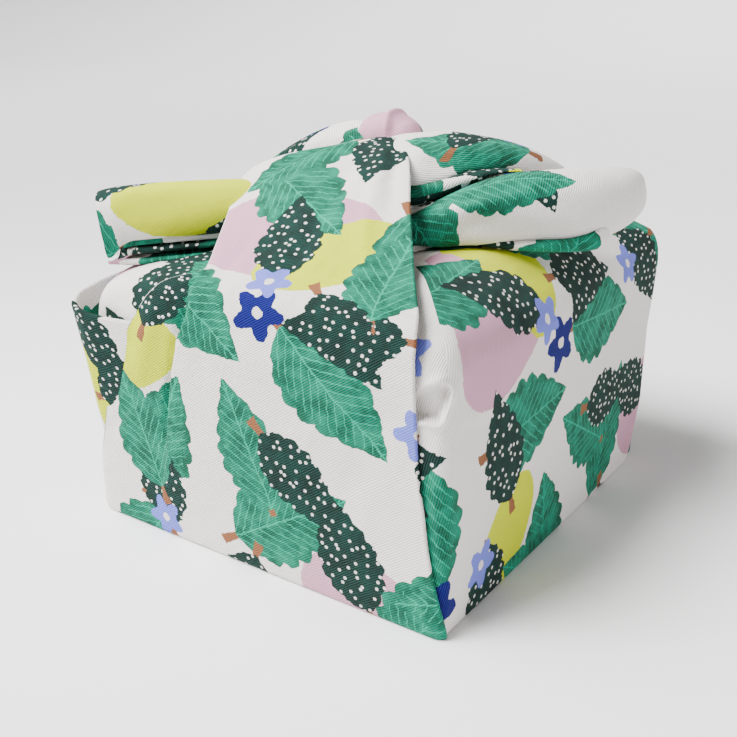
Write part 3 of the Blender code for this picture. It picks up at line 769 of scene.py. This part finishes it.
innerFolds = (
    {
        "rows": (
            # x, y, z, half height, half depth
            (4, -33, 147, 4.4, 6.0),
            (16, -29, 147, 4.4, 6.0),
            (26.5, -24, 147.5, 4.3, 6.0),
            (31, -18.5, 148.4, 4.0, 6.0),
            (36, -13, 150.1, 3.7, 6.0),
            (41, -7, 152.6, 3.1, 5.5),
            (47, -0.5, 154.8, 1.9, 5.0),
            (52.5, 7, 156.0, 1.0, 4.0),
            (58, 15, 155.8, 0.5, 3.0),
        ),
        "around": 32, "steps": 7, "squareness": 2.3, "shift": (40, 700), "turn": 0,
    },
    {
        "rows": (
            (6, -38, 140.6, 2.1, 4.0),
            (20, -34, 140.6, 2.1, 4.0),
            (29, -28, 140.9, 2.0, 4.0),
            (35.5, -21, 143.3, 1.4, 4.0),
            (41, -14.5, 147.3, 0.9, 3.5),
            (45.5, -9, 149.8, 0.5, 3.0),
        ),
        "around": 32, "steps": 7, "squareness": 2.3, "shift": (300, 660), "turn": 30,
    },
)
rightHump = {
    # the gathered cloth behind the right end: its lower crease and its crest, each x, y, z
    "crease": (
        (2, -28, 150), (16, -28, 151), (28, -24.5, 152.4), (34.7, -17.5, 153.3), (39.4, -11.5, 155.0),
        (44.2, -3.5, 156.8), (49.3, 7.5, 157.0), (52.5, 17, 156.3), (57, 30, 153.4), (61, 44, 148),
        (64, 56, 140),
    ),
    "crest": (
        (-4, -4, 165), (6, 0, 168.5), (15, 3, 169.8), (23, 11, 170.2), (27, 16, 169.6),
        (31, 22, 168.4), (36, 31, 166.4), (41, 38.5, 164.0), (48, 50.5, 158.8), (56, 63.5, 150.8),
        (62, 72, 142),
    ),
    "bulge": 5.0, "steps": 7, "printColumn": 14,
    "behind": (-0.571, 0.821, 0.0),              # the way down its back
    "faceLean": 0.5,                             # how far its face swells forward, against up
    "profile": (
        # share of the way from crease to crest, mm behind, mm up, share of the bulge, steps to the next row
        (0.0, 7.0, -2.5, 0.0, 2),
        (0.0, 2.4, -1.6, 0.0, 3),
        (0.0, 0.0, 0.0, 0.0, 4),
        (0.20, 0.0, 0.0, 0.72, 6),
        (0.50, 0.0, 0.0, 1.0, 6),
        (0.78, 0.0, 0.0, 0.62, 5),
        (1.0, 0.0, 0.0, 0.0, 4),
        (1.0, 7.0, -1.2, 0.0, 3),
        (1.0, 14.0, -6.0, 0.0, 3),
        (1.0, 18.0, -15.0, 0.0, 3),
        (1.0, 19.0, -26.0, 0.0, 1),
    ),
    "creases": (
        (((14, -14, 160), (26, -12, 162), (36, -4, 163), (46, 10, 162)), 3.0, -0.9),
        (((14, -20, 157), (26, -18, 158), (36, -10, 159), (48, 6, 160)), 2.6, 0.6),
        (((12, -4, 166), (24, 2, 168), (36, 14, 166), (48, 34, 160)), 4.0, 0.6),
    ),
    "shift": (560, 120), "turn": 60,
}
knot = {
    "rows": (
        (-16.5, 7, 161, 6.0, 7.0),
        (-13, 8, 163.6, 10.0, 11.0),
        (-8, 9, 164.8, 12.2, 13.0),
        (-3, 10, 164.8, 12.2, 12.0),
        (2.0, 11, 164.6, 10.6, 11.0),
        (5.4, 12, 163.0, 7.8, 8.6),
        (7.6, 13, 160.5, 4.2, 5.6),
    ),
    "around": 72, "steps": 8, "squareness": 2.4,
    "creases": (
        (((1.5, -3, 164), (0.0, -1, 170), (-2.0, 4, 175.6), (-2.4, 12, 177.5), (-2, 22, 172)), 2.0, -2.0),
        (((-9, -4, 165), (-10, 2, 172), (-10.5, 10, 175)), 1.4, -0.8),
        (((-8, -6, 168), (-8, 4, 178), (-8, 16, 176)), 3.0, 0.5),
        (((4, -4, 168), (4.5, 4, 176), (5, 16, 174)), 2.2, 0.7),
        (((-14, -4, 160), (-4, -4, 161), (8, 0, 160)), 2.0, -1.4),
    ),
    "shift": (-144, 49), "turn": 0,
}
gather = {
    "rows": (
        # height, left, right, front and back
        (112, -30, 46, 78),
        (121, -30, 46, 79),
        (128, -31, 42, 70),
        (135, -33, 37, 60),
        (142, -35, 33, 51),
        (149, -37, 29, 42),
        (155, -35, 25, 33),
        (160, -22, 16, 20),
        (163, -8, 6, 8),
    ),
    "around": 90, "steps": 3, "squareness": 3, "printStretch": 1.25,
    "shift": (180, 260), "turn": 0,
}


def foldedGrid(piece):
    # one section, folded over and over, carried along a path; each layer ends where it says
    path = curveThrough(piece["rows"], piece["steps"])
    centres = path[:, :3] * (1, 1, 0)
    ahead = unit(np.gradient(centres, axis=0))
    sideways = np.stack([-ahead[:, 1], ahead[:, 0], np.zeros(len(ahead))], axis=-1)
    sideways = sideways * -np.sign(sideways[:, 1:2])
    out, share, reach, drop = curveThrough(piece["section"], piece["sectionSteps"]).T
    lengths = np.insert(np.cumsum(np.linalg.norm(np.diff(centres, axis=0), axis=1)), 0, 0)
    last = smoothStep(lengths, lengths[-1] - piece["endReach"], lengths[-1])
    grid = []
    for k, (underside, top, deep) in enumerate(path[:, 2:]):
        height = underside + (top - underside) * (share - drop * last[k] ** 2)
        grid.append(centres[k] + sideways[k] * (out * deep)[:, None] + ahead[k] * (reach * last[k])[:, None]
                    + straightUp * height[:, None])
    return np.array(grid)


def layFolded(piece):
    # the last rows turn each layer's end in, so that it has the cloth's thickness
    grid = foldedGrid(piece)
    tip = grid[-1] - gridNormals(grid)[-1] * piece["edge"]
    grid = np.concatenate([grid, tip[None], (tip + grid[-4] - grid[-1])[None]])
    outside = np.arange(grid.shape[1]) < piece["outerSection"] * piece["sectionSteps"]
    layAlong(creased(grid, piece["creases"], outside), piece, piece["printColumn"])


def layHump(piece):
    # from under its crease up over its crest and down behind
    low, high = curveThrough(piece["crease"], piece["steps"]), curveThrough(piece["crest"], piece["steps"])
    behind = np.array(piece["behind"])
    face = unit(straightUp - piece["faceLean"] * behind)
    steps = [row[-1] for row in piece["profile"]]
    rows = []
    for a, b in zip(low, high):
        points = [a + (b - a) * share + behind * back + straightUp * rise + face * piece["bulge"] * swell
                  for share, back, rise, swell, count in piece["profile"]]
        rows.append(curveThrough(points, steps))
    layAlong(creased(np.array(rows), piece["creases"]), piece, piece["printColumn"])


def layGather(piece):
    # the cloth drawn together below the knot
    turns = np.linspace(0, 2 * math.pi, piece["around"])
    ringAcross, ringUp = ovalRing(turns, piece["squareness"])
    levels = curveThrough(piece["rows"], piece["steps"])
    rows = []
    for height, left, right, reach in levels:
        x = (left + right) / 2 + (right - left) / 2 * ringAcross
        rows.append(np.stack([x, reach * ringUp, np.full_like(x, height)], axis=-1))
    grid = np.array(rows)
    layPatch(grid, grid[..., 0] * piece["printStretch"], grid[..., 1] * piece["printStretch"], piece)


layFolded(leftEnd)
layRoll(rightEnd)
layRoll(lowerLip)
layHump(rightHump)
for roll in (rightFan, leftFan, *innerFolds, knot):
    layRoll(roll)
layGather(gather)
print("rolls, fans and knot laid")


# one cloth from all the patches

cloth = {
    "flatSide": 0.70,                            # m, the square that it was cut to
    "weld": 0.03, "leastEdge": 0.01,             # mm
}


def linkedObject(name, data):
    made = bpy.data.objects.new(name, data)
    bpy.context.scene.collection.objects.link(made)
    return made


def buildCloth(name):
    verts, faces, flats = [], [], []
    for points, flat in clothPatches:
        rows, columns = points.shape[:2]
        index = len(verts) + np.arange(rows * columns).reshape(rows, columns)
        quads = np.stack([index[:-1, :-1], index[:-1, 1:], index[1:, 1:], index[1:, :-1]], axis=-1)
        faces += quads.reshape(-1, 4).tolist()
        verts += (points.reshape(-1, 3) * mm).tolist()
        flats += (flat.reshape(-1, 2) * mm).tolist()
    data = bpy.data.meshes.new(name)
    data.from_pydata(verts, [], faces)
    layer = data.uv_layers.new(name="flatCloth")
    corners = np.zeros(len(data.loops), dtype=int)
    data.loops.foreach_get("vertex_index", corners)
    layer.data.foreach_set("uv", np.array(flats)[corners].ravel())
    return linkedObject(name, data)


def outwardFaces(piece):
    shape = bmesh.new()
    shape.from_mesh(piece.data)
    bmesh.ops.remove_doubles(shape, verts=shape.verts, dist=cloth["weld"] * mm)
    bmesh.ops.dissolve_degenerate(shape, edges=shape.edges, dist=cloth["leastEdge"] * mm)
    bmesh.ops.recalc_face_normals(shape, faces=shape.faces)
    shape.to_mesh(piece.data)
    shape.free()
    piece.data.shade_smooth()


wrap = buildCloth("wrappedCloth")
outwardFaces(wrap)
print("cloth joined:", len(wrap.data.polygons), "faces")


# node helpers

def setInputs(node, values):
    # an input gets a fixed value, or a link from a Flow
    for key, value in values.items():
        if isinstance(value, Flow):
            node.id_data.links.new(value.socket, node.inputs[key])
        else:
            node.inputs[key].default_value = value


def addNode(tree, kind, values, **settings):
    node = tree.nodes.new(kind)
    for name, value in settings.items():
        setattr(node, name, value)
    setInputs(node, values)
    return node


def calc(operation, a, b=0.0):
    tree = a.tree if isinstance(a, Flow) else b.tree
    return Flow(addNode(tree, "ShaderNodeMath", {0: a, 1: b}, operation=operation))


class Flow:
    # what a node gives; a sum that is written with it adds the maths nodes for the sum

    def __init__(self, node, output=0):
        self.socket = node.outputs[output]
        self.tree = node.id_data

    def __add__(self, other):
        return calc("ADD", self, other)

    def __radd__(self, other):
        return calc("ADD", other, self)

    def __sub__(self, other):
        return calc("SUBTRACT", self, other)

    def __rsub__(self, other):
        return calc("SUBTRACT", other, self)

    def __mul__(self, other):
        return calc("MULTIPLY", self, other)

    def __truediv__(self, other):
        return calc("DIVIDE", self, other)

    def __rtruediv__(self, other):
        return calc("DIVIDE", other, self)

    def __lt__(self, other):
        return calc("LESS_THAN", self, other)

    def __gt__(self, other):
        return calc("GREATER_THAN", self, other)

    def __abs__(self):
        return calc("ABSOLUTE", self)

    def vector(self, operation, other=(0, 0, 0)):
        key = "Scale" if operation == "SCALE" else 1
        return Flow(addNode(self.tree, "ShaderNodeVectorMath", {0: self, key: other}, operation=operation))

    def turned(self, angle):
        return Flow(addNode(self.tree, "ShaderNodeVectorRotate", {"Vector": self, "Angle": angle},
                            rotation_type="Z_AXIS"))

    def parts(self):
        return addNode(self.tree, "ShaderNodeSeparateXYZ", {0: self})


def between(value, low, high):
    # 0 up to low, and 1 from high on
    values = {"Value": value, "From Min": low, "From Max": high}
    return Flow(addNode(value.tree, "ShaderNodeMapRange", values))


def softEdge(value, width=0.12):
    # 0 outside a motif and 1 inside it, for a distance in mm that grows inward
    return between(value, -width, width)


def mix(mask, below, above):
    return Flow(addNode(mask.tree, "ShaderNodeMix", {0: mask, 6: below, 7: above}, data_type="RGBA"), 2)


def noise(place, scale, detail, roughness, output="Fac"):
    values = {"Vector": place, "Scale": scale, "Detail": detail, "Roughness": roughness}
    return Flow(addNode(place.tree, "ShaderNodeTexNoise", values, noise_dimensions="2D"), output)


def newGroup(name, inputs, outputs):
    # a node group for numbers and one place on the cloth, and a Flow from each of its inputs
    tree = bpy.data.node_groups.new(name, "ShaderNodeTree")
    for label in inputs:
        kind = "NodeSocketVector" if label == "Cloth" else "NodeSocketFloat"
        tree.interface.new_socket(label, in_out="INPUT", socket_type=kind)
    for label in outputs:
        tree.interface.new_socket(label, in_out="OUTPUT", socket_type="NodeSocketFloat")
    source = tree.nodes.new("NodeGroupInput")
    return tree, [Flow(source, label) for label in inputs]


# printed cotton twill

cotton = {
    "ground": (0.77, 0.74, 0.70),
    "leafGreen": (0.0, 0.125, 0.07),
    "leafPale": (0.004, 0.26, 0.155),
    "darkGreen": (0.0, 0.02, 0.015),
    "stem": (0.23, 0.085, 0.035),
    "blue": (0.0, 0.003, 0.12),
    "periwinkle": (0.145, 0.175, 0.62),
    "pink": (0.57, 0.30, 0.40),
    "yellow": (0.54, 0.60, 0.0),
    # the print's layers: colour, the pitch and turn of its grid, its shift and jitter in cells, the share of
    # cells with a motif, and the motif's length and width in mm
    "blobs": (
        ("pink", 128, 12, 0.37, 0.30, 0.66, 92, 62),
        ("yellow", 118, 48, 2.21, 0.36, 0.50, 66, 42),
    ),
    "leaves": (
        ("leafGreen", 72, 8, 4.13, 0.12, 0.88, 66, 41),
        ("darkGreen", 66, 37, 7.71, 0.14, 0.84, 54, 31),
        ("leafGreen", 74, 66, 1.57, 0.18, 0.42, 58, 35),
        ("darkGreen", 82, 12, 9.37, 0.20, 0.36, 50, 29),
    ),
    "flowers": (
        ("blue", 92, 24, 5.39, 0.5, 0.55, 25, 25),
        ("periwinkle", 84, 57, 3.91, 0.5, 0.45, 21, 21),
    ),
    # how many petals and how deep, a flower's middle as a share of its length, and the edges' softness, mm
    "blobPetals": (2, 0.05), "flowerPetals": (5, 0.2), "flowerMiddle": 0.1, "roundEdge": 0.15,
    "dotScale": 0.22, "dotLoose": 0.8, "dotRadius": 0.16, "dotEdge": 0.03,
    # what the grain does to each paint, what the wash leaves of it, and how light veins and dots are
    "mottle": {
        "ground": (0.97, 1.03), "pink": (0.94, 1.06), "yellow": (0.94, 1.06), "darkGreen": (1.1, 1.7),
        "blue": (0.9, 1.12), "periwinkle": (0.9, 1.12),
    },
    "washed": {"leafGreen": 0.62, "darkGreen": 0.75}, "leafStrength": 1.1,
    "veinShow": 0.6, "veinStrength": 1.7, "bareStrength": 0.95,
    # noises: scale for each mm, detail and roughness
    "brushNoise": (0.35, 2.0, 0.5), "brushSway": 1.6,          # mm that the motifs' edges wander
    "washNoise": (0.11, 4.0, 0.65), "washSpan": (0.36, 0.66),
    "grainNoise": (1.3, 3.0, 0.7),
    "waleNoise": (0.05, 1.0, 0.5), "waleSway": 1.2,
    "crepeNoise": (0.06, 3.0, 0.55), "creping": 1.2,           # mm of soft unevenness
    "walePitch": 0.95,         # mm between the twill's ridges
    "waleTurn": 45, "waleHeight": 0.2,
    "yarnPitch": 0.62, "yarnSlant": 2.4, "yarnDepth": 0.25,
    "shade": 0.79, "paintedRidgeLight": 0.32,            # painted shade between the cloth's ridges, and the painted light that the ridge tops add
    "threadShow": 0.025,       # how much of the bare thread shows through the inks
    "roughness": 0.88, "sheen": 0.02, "sheenRoughness": 0.45, "specular": 0.1,
}
leafShape = {
    "fullness": 0.72, "scallops": 7, "scallopDepth": 0.14,
    "veinHalf": 0.35, "veinPitch": 5.2, "veinSlant": 1.1, "veinReach": 0.8,     # mm, apart from the shares
    # the stem: its half width, how it narrows, and from where to where along the leaf, in shares of it
    "stemHalf": 1.7, "stemTaper": 6.0, "stemStart": -0.14, "stemEnd": 0.05,
}


def colour(name, strength=1.0):
    return tuple(value * strength for value in cotton[name]) + (1.0,)


def mottled(grain, name):
    low, high = cotton["mottle"][name]
    return mix(grain, colour(name, low), colour(name, high))


def scatterGroup():
    # a jittered grid: where a point lies in its own motif, in mm, and a random number for the motif
    # each cell has two random colours, read at its own place and a fixed way off
    tree, (place, pitch, gridTurn, shift, jitter) = newGroup(
        "printScatter", ("Cloth", "Pitch", "Grid Turn", "Shift", "Jitter"), ("Along", "Across", "Chance"))
    shifts = Flow(addNode(tree, "ShaderNodeCombineXYZ", {0: shift, 1: shift * 1.7}))
    placed = place.turned(gridTurn).vector("SCALE", 1.0 / pitch).vector("ADD", shifts)
    cell = placed.vector("FLOOR")
    inCell = placed.vector("FRACTION").vector("SUBTRACT", (0.5, 0.5, 0.0))
    first = addNode(tree, "ShaderNodeTexWhiteNoise", {"Vector": cell}, noise_dimensions="2D")
    later = cell.vector("ADD", (31.0, 57.0, 0.0))
    later = addNode(tree, "ShaderNodeTexWhiteNoise", {"Vector": later}, noise_dimensions="2D")
    moved = Flow(first, "Color").vector("SUBTRACT", (0.5, 0.5, 0.5)).vector("SCALE", jitter)
    local = inCell.vector("SUBTRACT", moved)
    sized = local.turned(Flow(later, "Value") * (2 * math.pi)).vector("SCALE", pitch).parts()
    chance = Flow(Flow(later, "Color").parts(), 1)
    addNode(tree, "NodeGroupOutput", {"Along": Flow(sized, 0), "Across": Flow(sized, 1), "Chance": chance})
    return tree


def leafGroup():
    # a broad pointed leaf with a stem: masks for its blade, veins and stem
    tree, (along, across, length, width) = newGroup(
        "printLeaf", ("Along", "Across", "Length", "Width"), ("Blade", "Veins", "Stem"))
    across = abs(across)
    share = along / length + 0.5
    inRange = Flow(addNode(tree, "ShaderNodeClamp", {"Value": share}))
    swell = calc("SINE", calc("POWER", inRange, leafShape["fullness"]) * math.pi)
    scallop = abs(calc("SINE", inRange * (leafShape["scallops"] * math.pi)))
    half = swell * (width * 0.5) * ((1 - leafShape["scallopDepth"]) + scallop * leafShape["scallopDepth"])
    blade = softEdge(half - across) * ((share > 0.0) * (share < 1.0))
    middleVein = softEdge(leafShape["veinHalf"] - across)
    slanted = calc("FRACT", (along - across * leafShape["veinSlant"]) / leafShape["veinPitch"])
    sideVein = softEdge(leafShape["veinHalf"] - abs(slanted - 0.5) * leafShape["veinPitch"])
    inner = across < half * leafShape["veinReach"]
    veins = calc("MAXIMUM", middleVein, sideVein * inner) * blade
    stemHalf = leafShape["stemHalf"] - share * leafShape["stemTaper"]
    stem = softEdge(stemHalf - across) * ((share > leafShape["stemStart"]) * (share < leafShape["stemEnd"]))
    addNode(tree, "NodeGroupOutput", {"Blade": blade, "Veins": veins, "Stem": stem})
    return tree


def roundGroup():
    # a pebble or, with petals, a simple flower
    tree, (along, across, length, width, petals, depth) = newGroup(
        "printRound", ("Along", "Across", "Length", "Width", "Petals", "Petal Depth"), ("Mask", "Middle"))
    stretched = across * (length / width)
    reach = calc("SQRT", along * along + stretched * stretched)
    lobes = (1.0 - depth) + calc("COSINE", calc("ARCTAN2", across, along) * petals) * depth
    mask = softEdge(lobes * (length * 0.5) - reach, cotton["roundEdge"])
    middle = softEdge(length * cotton["flowerMiddle"] - reach)
    addNode(tree, "NodeGroupOutput", {"Mask": mask, "Middle": middle})
    return tree


def printColour(place, ground, grain):
    # the motifs, layer over layer, on the ground
    sway = noise(place, *cotton["brushNoise"], output="Color").vector("SUBTRACT", (0.5, 0.5, 0.5))
    hand = place.vector("ADD", sway.vector("SCALE", cotton["brushSway"]))      # edges as a brush leaves them
    wash = between(noise(place, *cotton["washNoise"]), *cotton["washSpan"])
    dots = addNode(place.tree, "ShaderNodeTexVoronoi",
                   {"Vector": place, "Scale": cotton["dotScale"], "Randomness": cotton["dotLoose"]},
                   voronoi_dimensions="2D")
    dot = softEdge(cotton["dotRadius"] - Flow(dots, "Distance"), cotton["dotEdge"])
    bare = colour("ground", cotton["bareStrength"])
    scatter, leaf, roundShape = scatterGroup(), leafGroup(), roundGroup()

    def motif(kind, layer, petals=()):
        # one layer's motif and whether a cell has one
        name, pitch, turn, shift, jitter, share, length, width = layer
        spread = {"Pitch": pitch, "Grid Turn": math.radians(turn), "Shift": shift, "Jitter": jitter}
        cell = addNode(place.tree, "ShaderNodeGroup", {"Cloth": hand, **spread}, node_tree=scatter)
        sizes = {"Length": length, "Width": width, **dict(zip(("Petals", "Petal Depth"), petals))}
        local = {"Along": Flow(cell, "Along"), "Across": Flow(cell, "Across")}
        made = addNode(place.tree, "ShaderNodeGroup", {**local, **sizes}, node_tree=kind)
        return made, Flow(cell, "Chance") < share

    printed = ground
    for layer in cotton["blobs"]:
        blob, shown = motif(roundShape, layer, cotton["blobPetals"])
        printed = mix(Flow(blob, "Mask") * shown, printed, mottled(grain, layer[0]))
    for layer in cotton["leaves"]:
        blade, shown = motif(leaf, layer)
        printed = mix(Flow(blade, "Stem") * shown, printed, colour("stem"))
        if layer[0] == "leafGreen":
            light = mix(grain, colour("leafGreen", cotton["leafStrength"]), colour("leafPale"))
            marks = Flow(blade, "Veins") * cotton["veinShow"]
            marked = colour("leafPale", cotton["veinStrength"])
        else:
            light = mottled(grain, "darkGreen")
            marks, marked = dot, bare
        paint = mix(marks, mix(wash, colour(layer[0], cotton["washed"][layer[0]]), light), marked)
        printed = mix(Flow(blade, "Blade") * shown, printed, paint)
    for layer in cotton["flowers"]:
        bloom, shown = motif(roundShape, layer, cotton["flowerPetals"])
        paint = mix(Flow(bloom, "Middle"), mottled(grain, layer[0]), bare)
        printed = mix(Flow(bloom, "Mask") * shown, printed, paint)
    return printed


def twillWeave(place):
    # fine slanting ridges with the yarns' beads along them, from 0 to 1
    slanted = place.turned(math.radians(cotton["waleTurn"])).parts()
    acrossWales = Flow(slanted, 0) + noise(place, *cotton["waleNoise"]) * cotton["waleSway"]
    wale = calc("SINE", acrossWales * (2 * math.pi / cotton["walePitch"])) * 0.5 + 0.5
    alongWales = Flow(slanted, 1) * (2 * math.pi / cotton["yarnPitch"])
    yarn = calc("SINE", alongWales + acrossWales * cotton["yarnSlant"]) * 0.5 + 0.5
    return wale * ((1 - cotton["yarnDepth"]) + yarn * cotton["yarnDepth"])


def cottonMaterial():
    material = bpy.data.materials.new("printedCottonTwill")
    material.use_nodes = True
    tree = material.node_tree
    place = Flow(addNode(tree, "ShaderNodeUVMap", {}, uv_map="flatCloth")).vector("SCALE", 1 / mm)
    grain = noise(place, *cotton["grainNoise"])
    ground = mottled(grain, "ground")
    weave = twillWeave(place)
    # the inks are a little lighter along the tops of the ridges
    printed = mix(weave * cotton["threadShow"], printColour(place, ground, grain), ground)
    # painted shade in the twill's grooves and painted light on its ridge tops
    printed = printed.vector("SCALE", cotton["shade"] + weave * cotton["paintedRidgeLight"])
    relief = weave * cotton["waleHeight"] + noise(place, *cotton["crepeNoise"]) * cotton["creping"]
    bump = Flow(addNode(tree, "ShaderNodeBump", {"Height": relief, "Strength": 1.0, "Distance": mm}))
    setInputs(tree.nodes["Principled BSDF"], {
        "Base Color": printed, "Normal": bump, "Roughness": cotton["roughness"],
        "Sheen Weight": cotton["sheen"], "Sheen Roughness": cotton["sheenRoughness"],
        "Specular IOR Level": cotton["specular"],
    })
    return material


wrap.data.materials.append(cottonMaterial())
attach(wrap, "root")
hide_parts("furoshiki_cloth")
print("print and twill made")


# floor, light and camera

studio = {
    "camera": (0.2428, -0.3631, 0.2181), "lookAt": (-0.0067, -0.0046, 0.0582),
    "lens": 47.22, "sensor": 36, "clipStart": 0.01,
    # lights: from (a direction), softness in degrees, strength
    "windowLight": ((-0.44, -0.52, 0.74), 34, 7.4),
    "topLight": ((0.05, 0.0, 1.0), 60, 0.3),
    # a lamp near the top of the wrap: its place, width and strength, and where it aims
    "softbox": ((-0.20, -0.19, 0.54), 0.38, 5.2), "softboxAim": (0, 0, 0.08),
    "world": 0.07, "roomTint": (1.0, 0.90, 0.80),
    # the paper: its colour, the radius and height of its rings, m, and the steps round them
    "floor": (0.92, 0.92, 0.92), "floorRoughness": 0.9, "floorSpecular": 0.1,
    "paper": ((0.2, 0.0), (2.5, 0.0), (3.2, 0.08), (3.7, 0.3), (4.0, 0.6), (4.15, 1.1), (4.2, 2.0)),
    "paperSteps": 64,
}


def aimed(thing, place, aim):
    # the thing's own axis points from the aim to its place
    thing.location = place
    direction = Vector(place) - Vector(aim)
    thing.rotation_euler = direction.to_track_quat("Z", "Y").to_euler()


def addLamp(name, kind, place, aim, **settings):
    light = bpy.data.lights.new(name, kind)
    for setting, value in settings.items():
        setattr(light, setting, value)
    aimed(linkedObject(name, light), place, aim)


def makeFloor():
    steps = studio["paperSteps"]
    turns = np.radians(np.linspace(0, 360, steps, endpoint=False))
    verts = [(0, 0, 0)] + [(r * math.cos(t), r * math.sin(t), h) for r, h in studio["paper"] for t in turns]
    faces = [(0, 1 + k, 1 + (k + 1) % steps) for k in range(steps)]
    for a in range(1, 1 + steps * (len(studio["paper"]) - 1), steps):
        b = a + steps
        faces += [(a + k, b + k, b + (k + 1) % steps, a + (k + 1) % steps) for k in range(steps)]
    data = bpy.data.meshes.new("studioFloor")
    data.from_pydata(verts, [], faces)
    data.shade_smooth()
    paper = bpy.data.materials.new("palePaper")
    paper.use_nodes = True
    setInputs(paper.node_tree.nodes["Principled BSDF"], {
        "Base Color": (*studio["floor"], 1), "Roughness": studio["floorRoughness"],
        "Specular IOR Level": studio["floorSpecular"],
    })
    data.materials.append(paper)
    floor = linkedObject("studioFloor", data)


def makeLights():
    world = bpy.data.worlds.new("studioLight")
    world.use_nodes = True
    setInputs(world.node_tree.nodes["Background"], {0: (*studio["roomTint"], 1), 1: studio["world"]})
    bpy.context.scene.world = world
    for name in ("windowLight", "topLight"):
        direction, softness, strength = studio[name]
        addLamp(name, "SUN", direction, (0, 0, 0), angle=math.radians(softness), energy=strength)
    place, width, strength = studio["softbox"]
    addLamp("softbox", "AREA", place, studio["softboxAim"], shape="DISK", size=width, energy=strength)


def makeCamera():
    camera = bpy.data.cameras.new("photoCamera")
    camera.lens, camera.sensor_width, camera.sensor_fit = studio["lens"], studio["sensor"], "HORIZONTAL"
    camera.clip_start = studio["clipStart"]
    eye = linkedObject("photoCamera", camera)
    aimed(eye, studio["camera"], studio["lookAt"])
    bpy.context.scene.camera = eye


makeFloor()
makeLights()
makeCamera()
print("studio made")
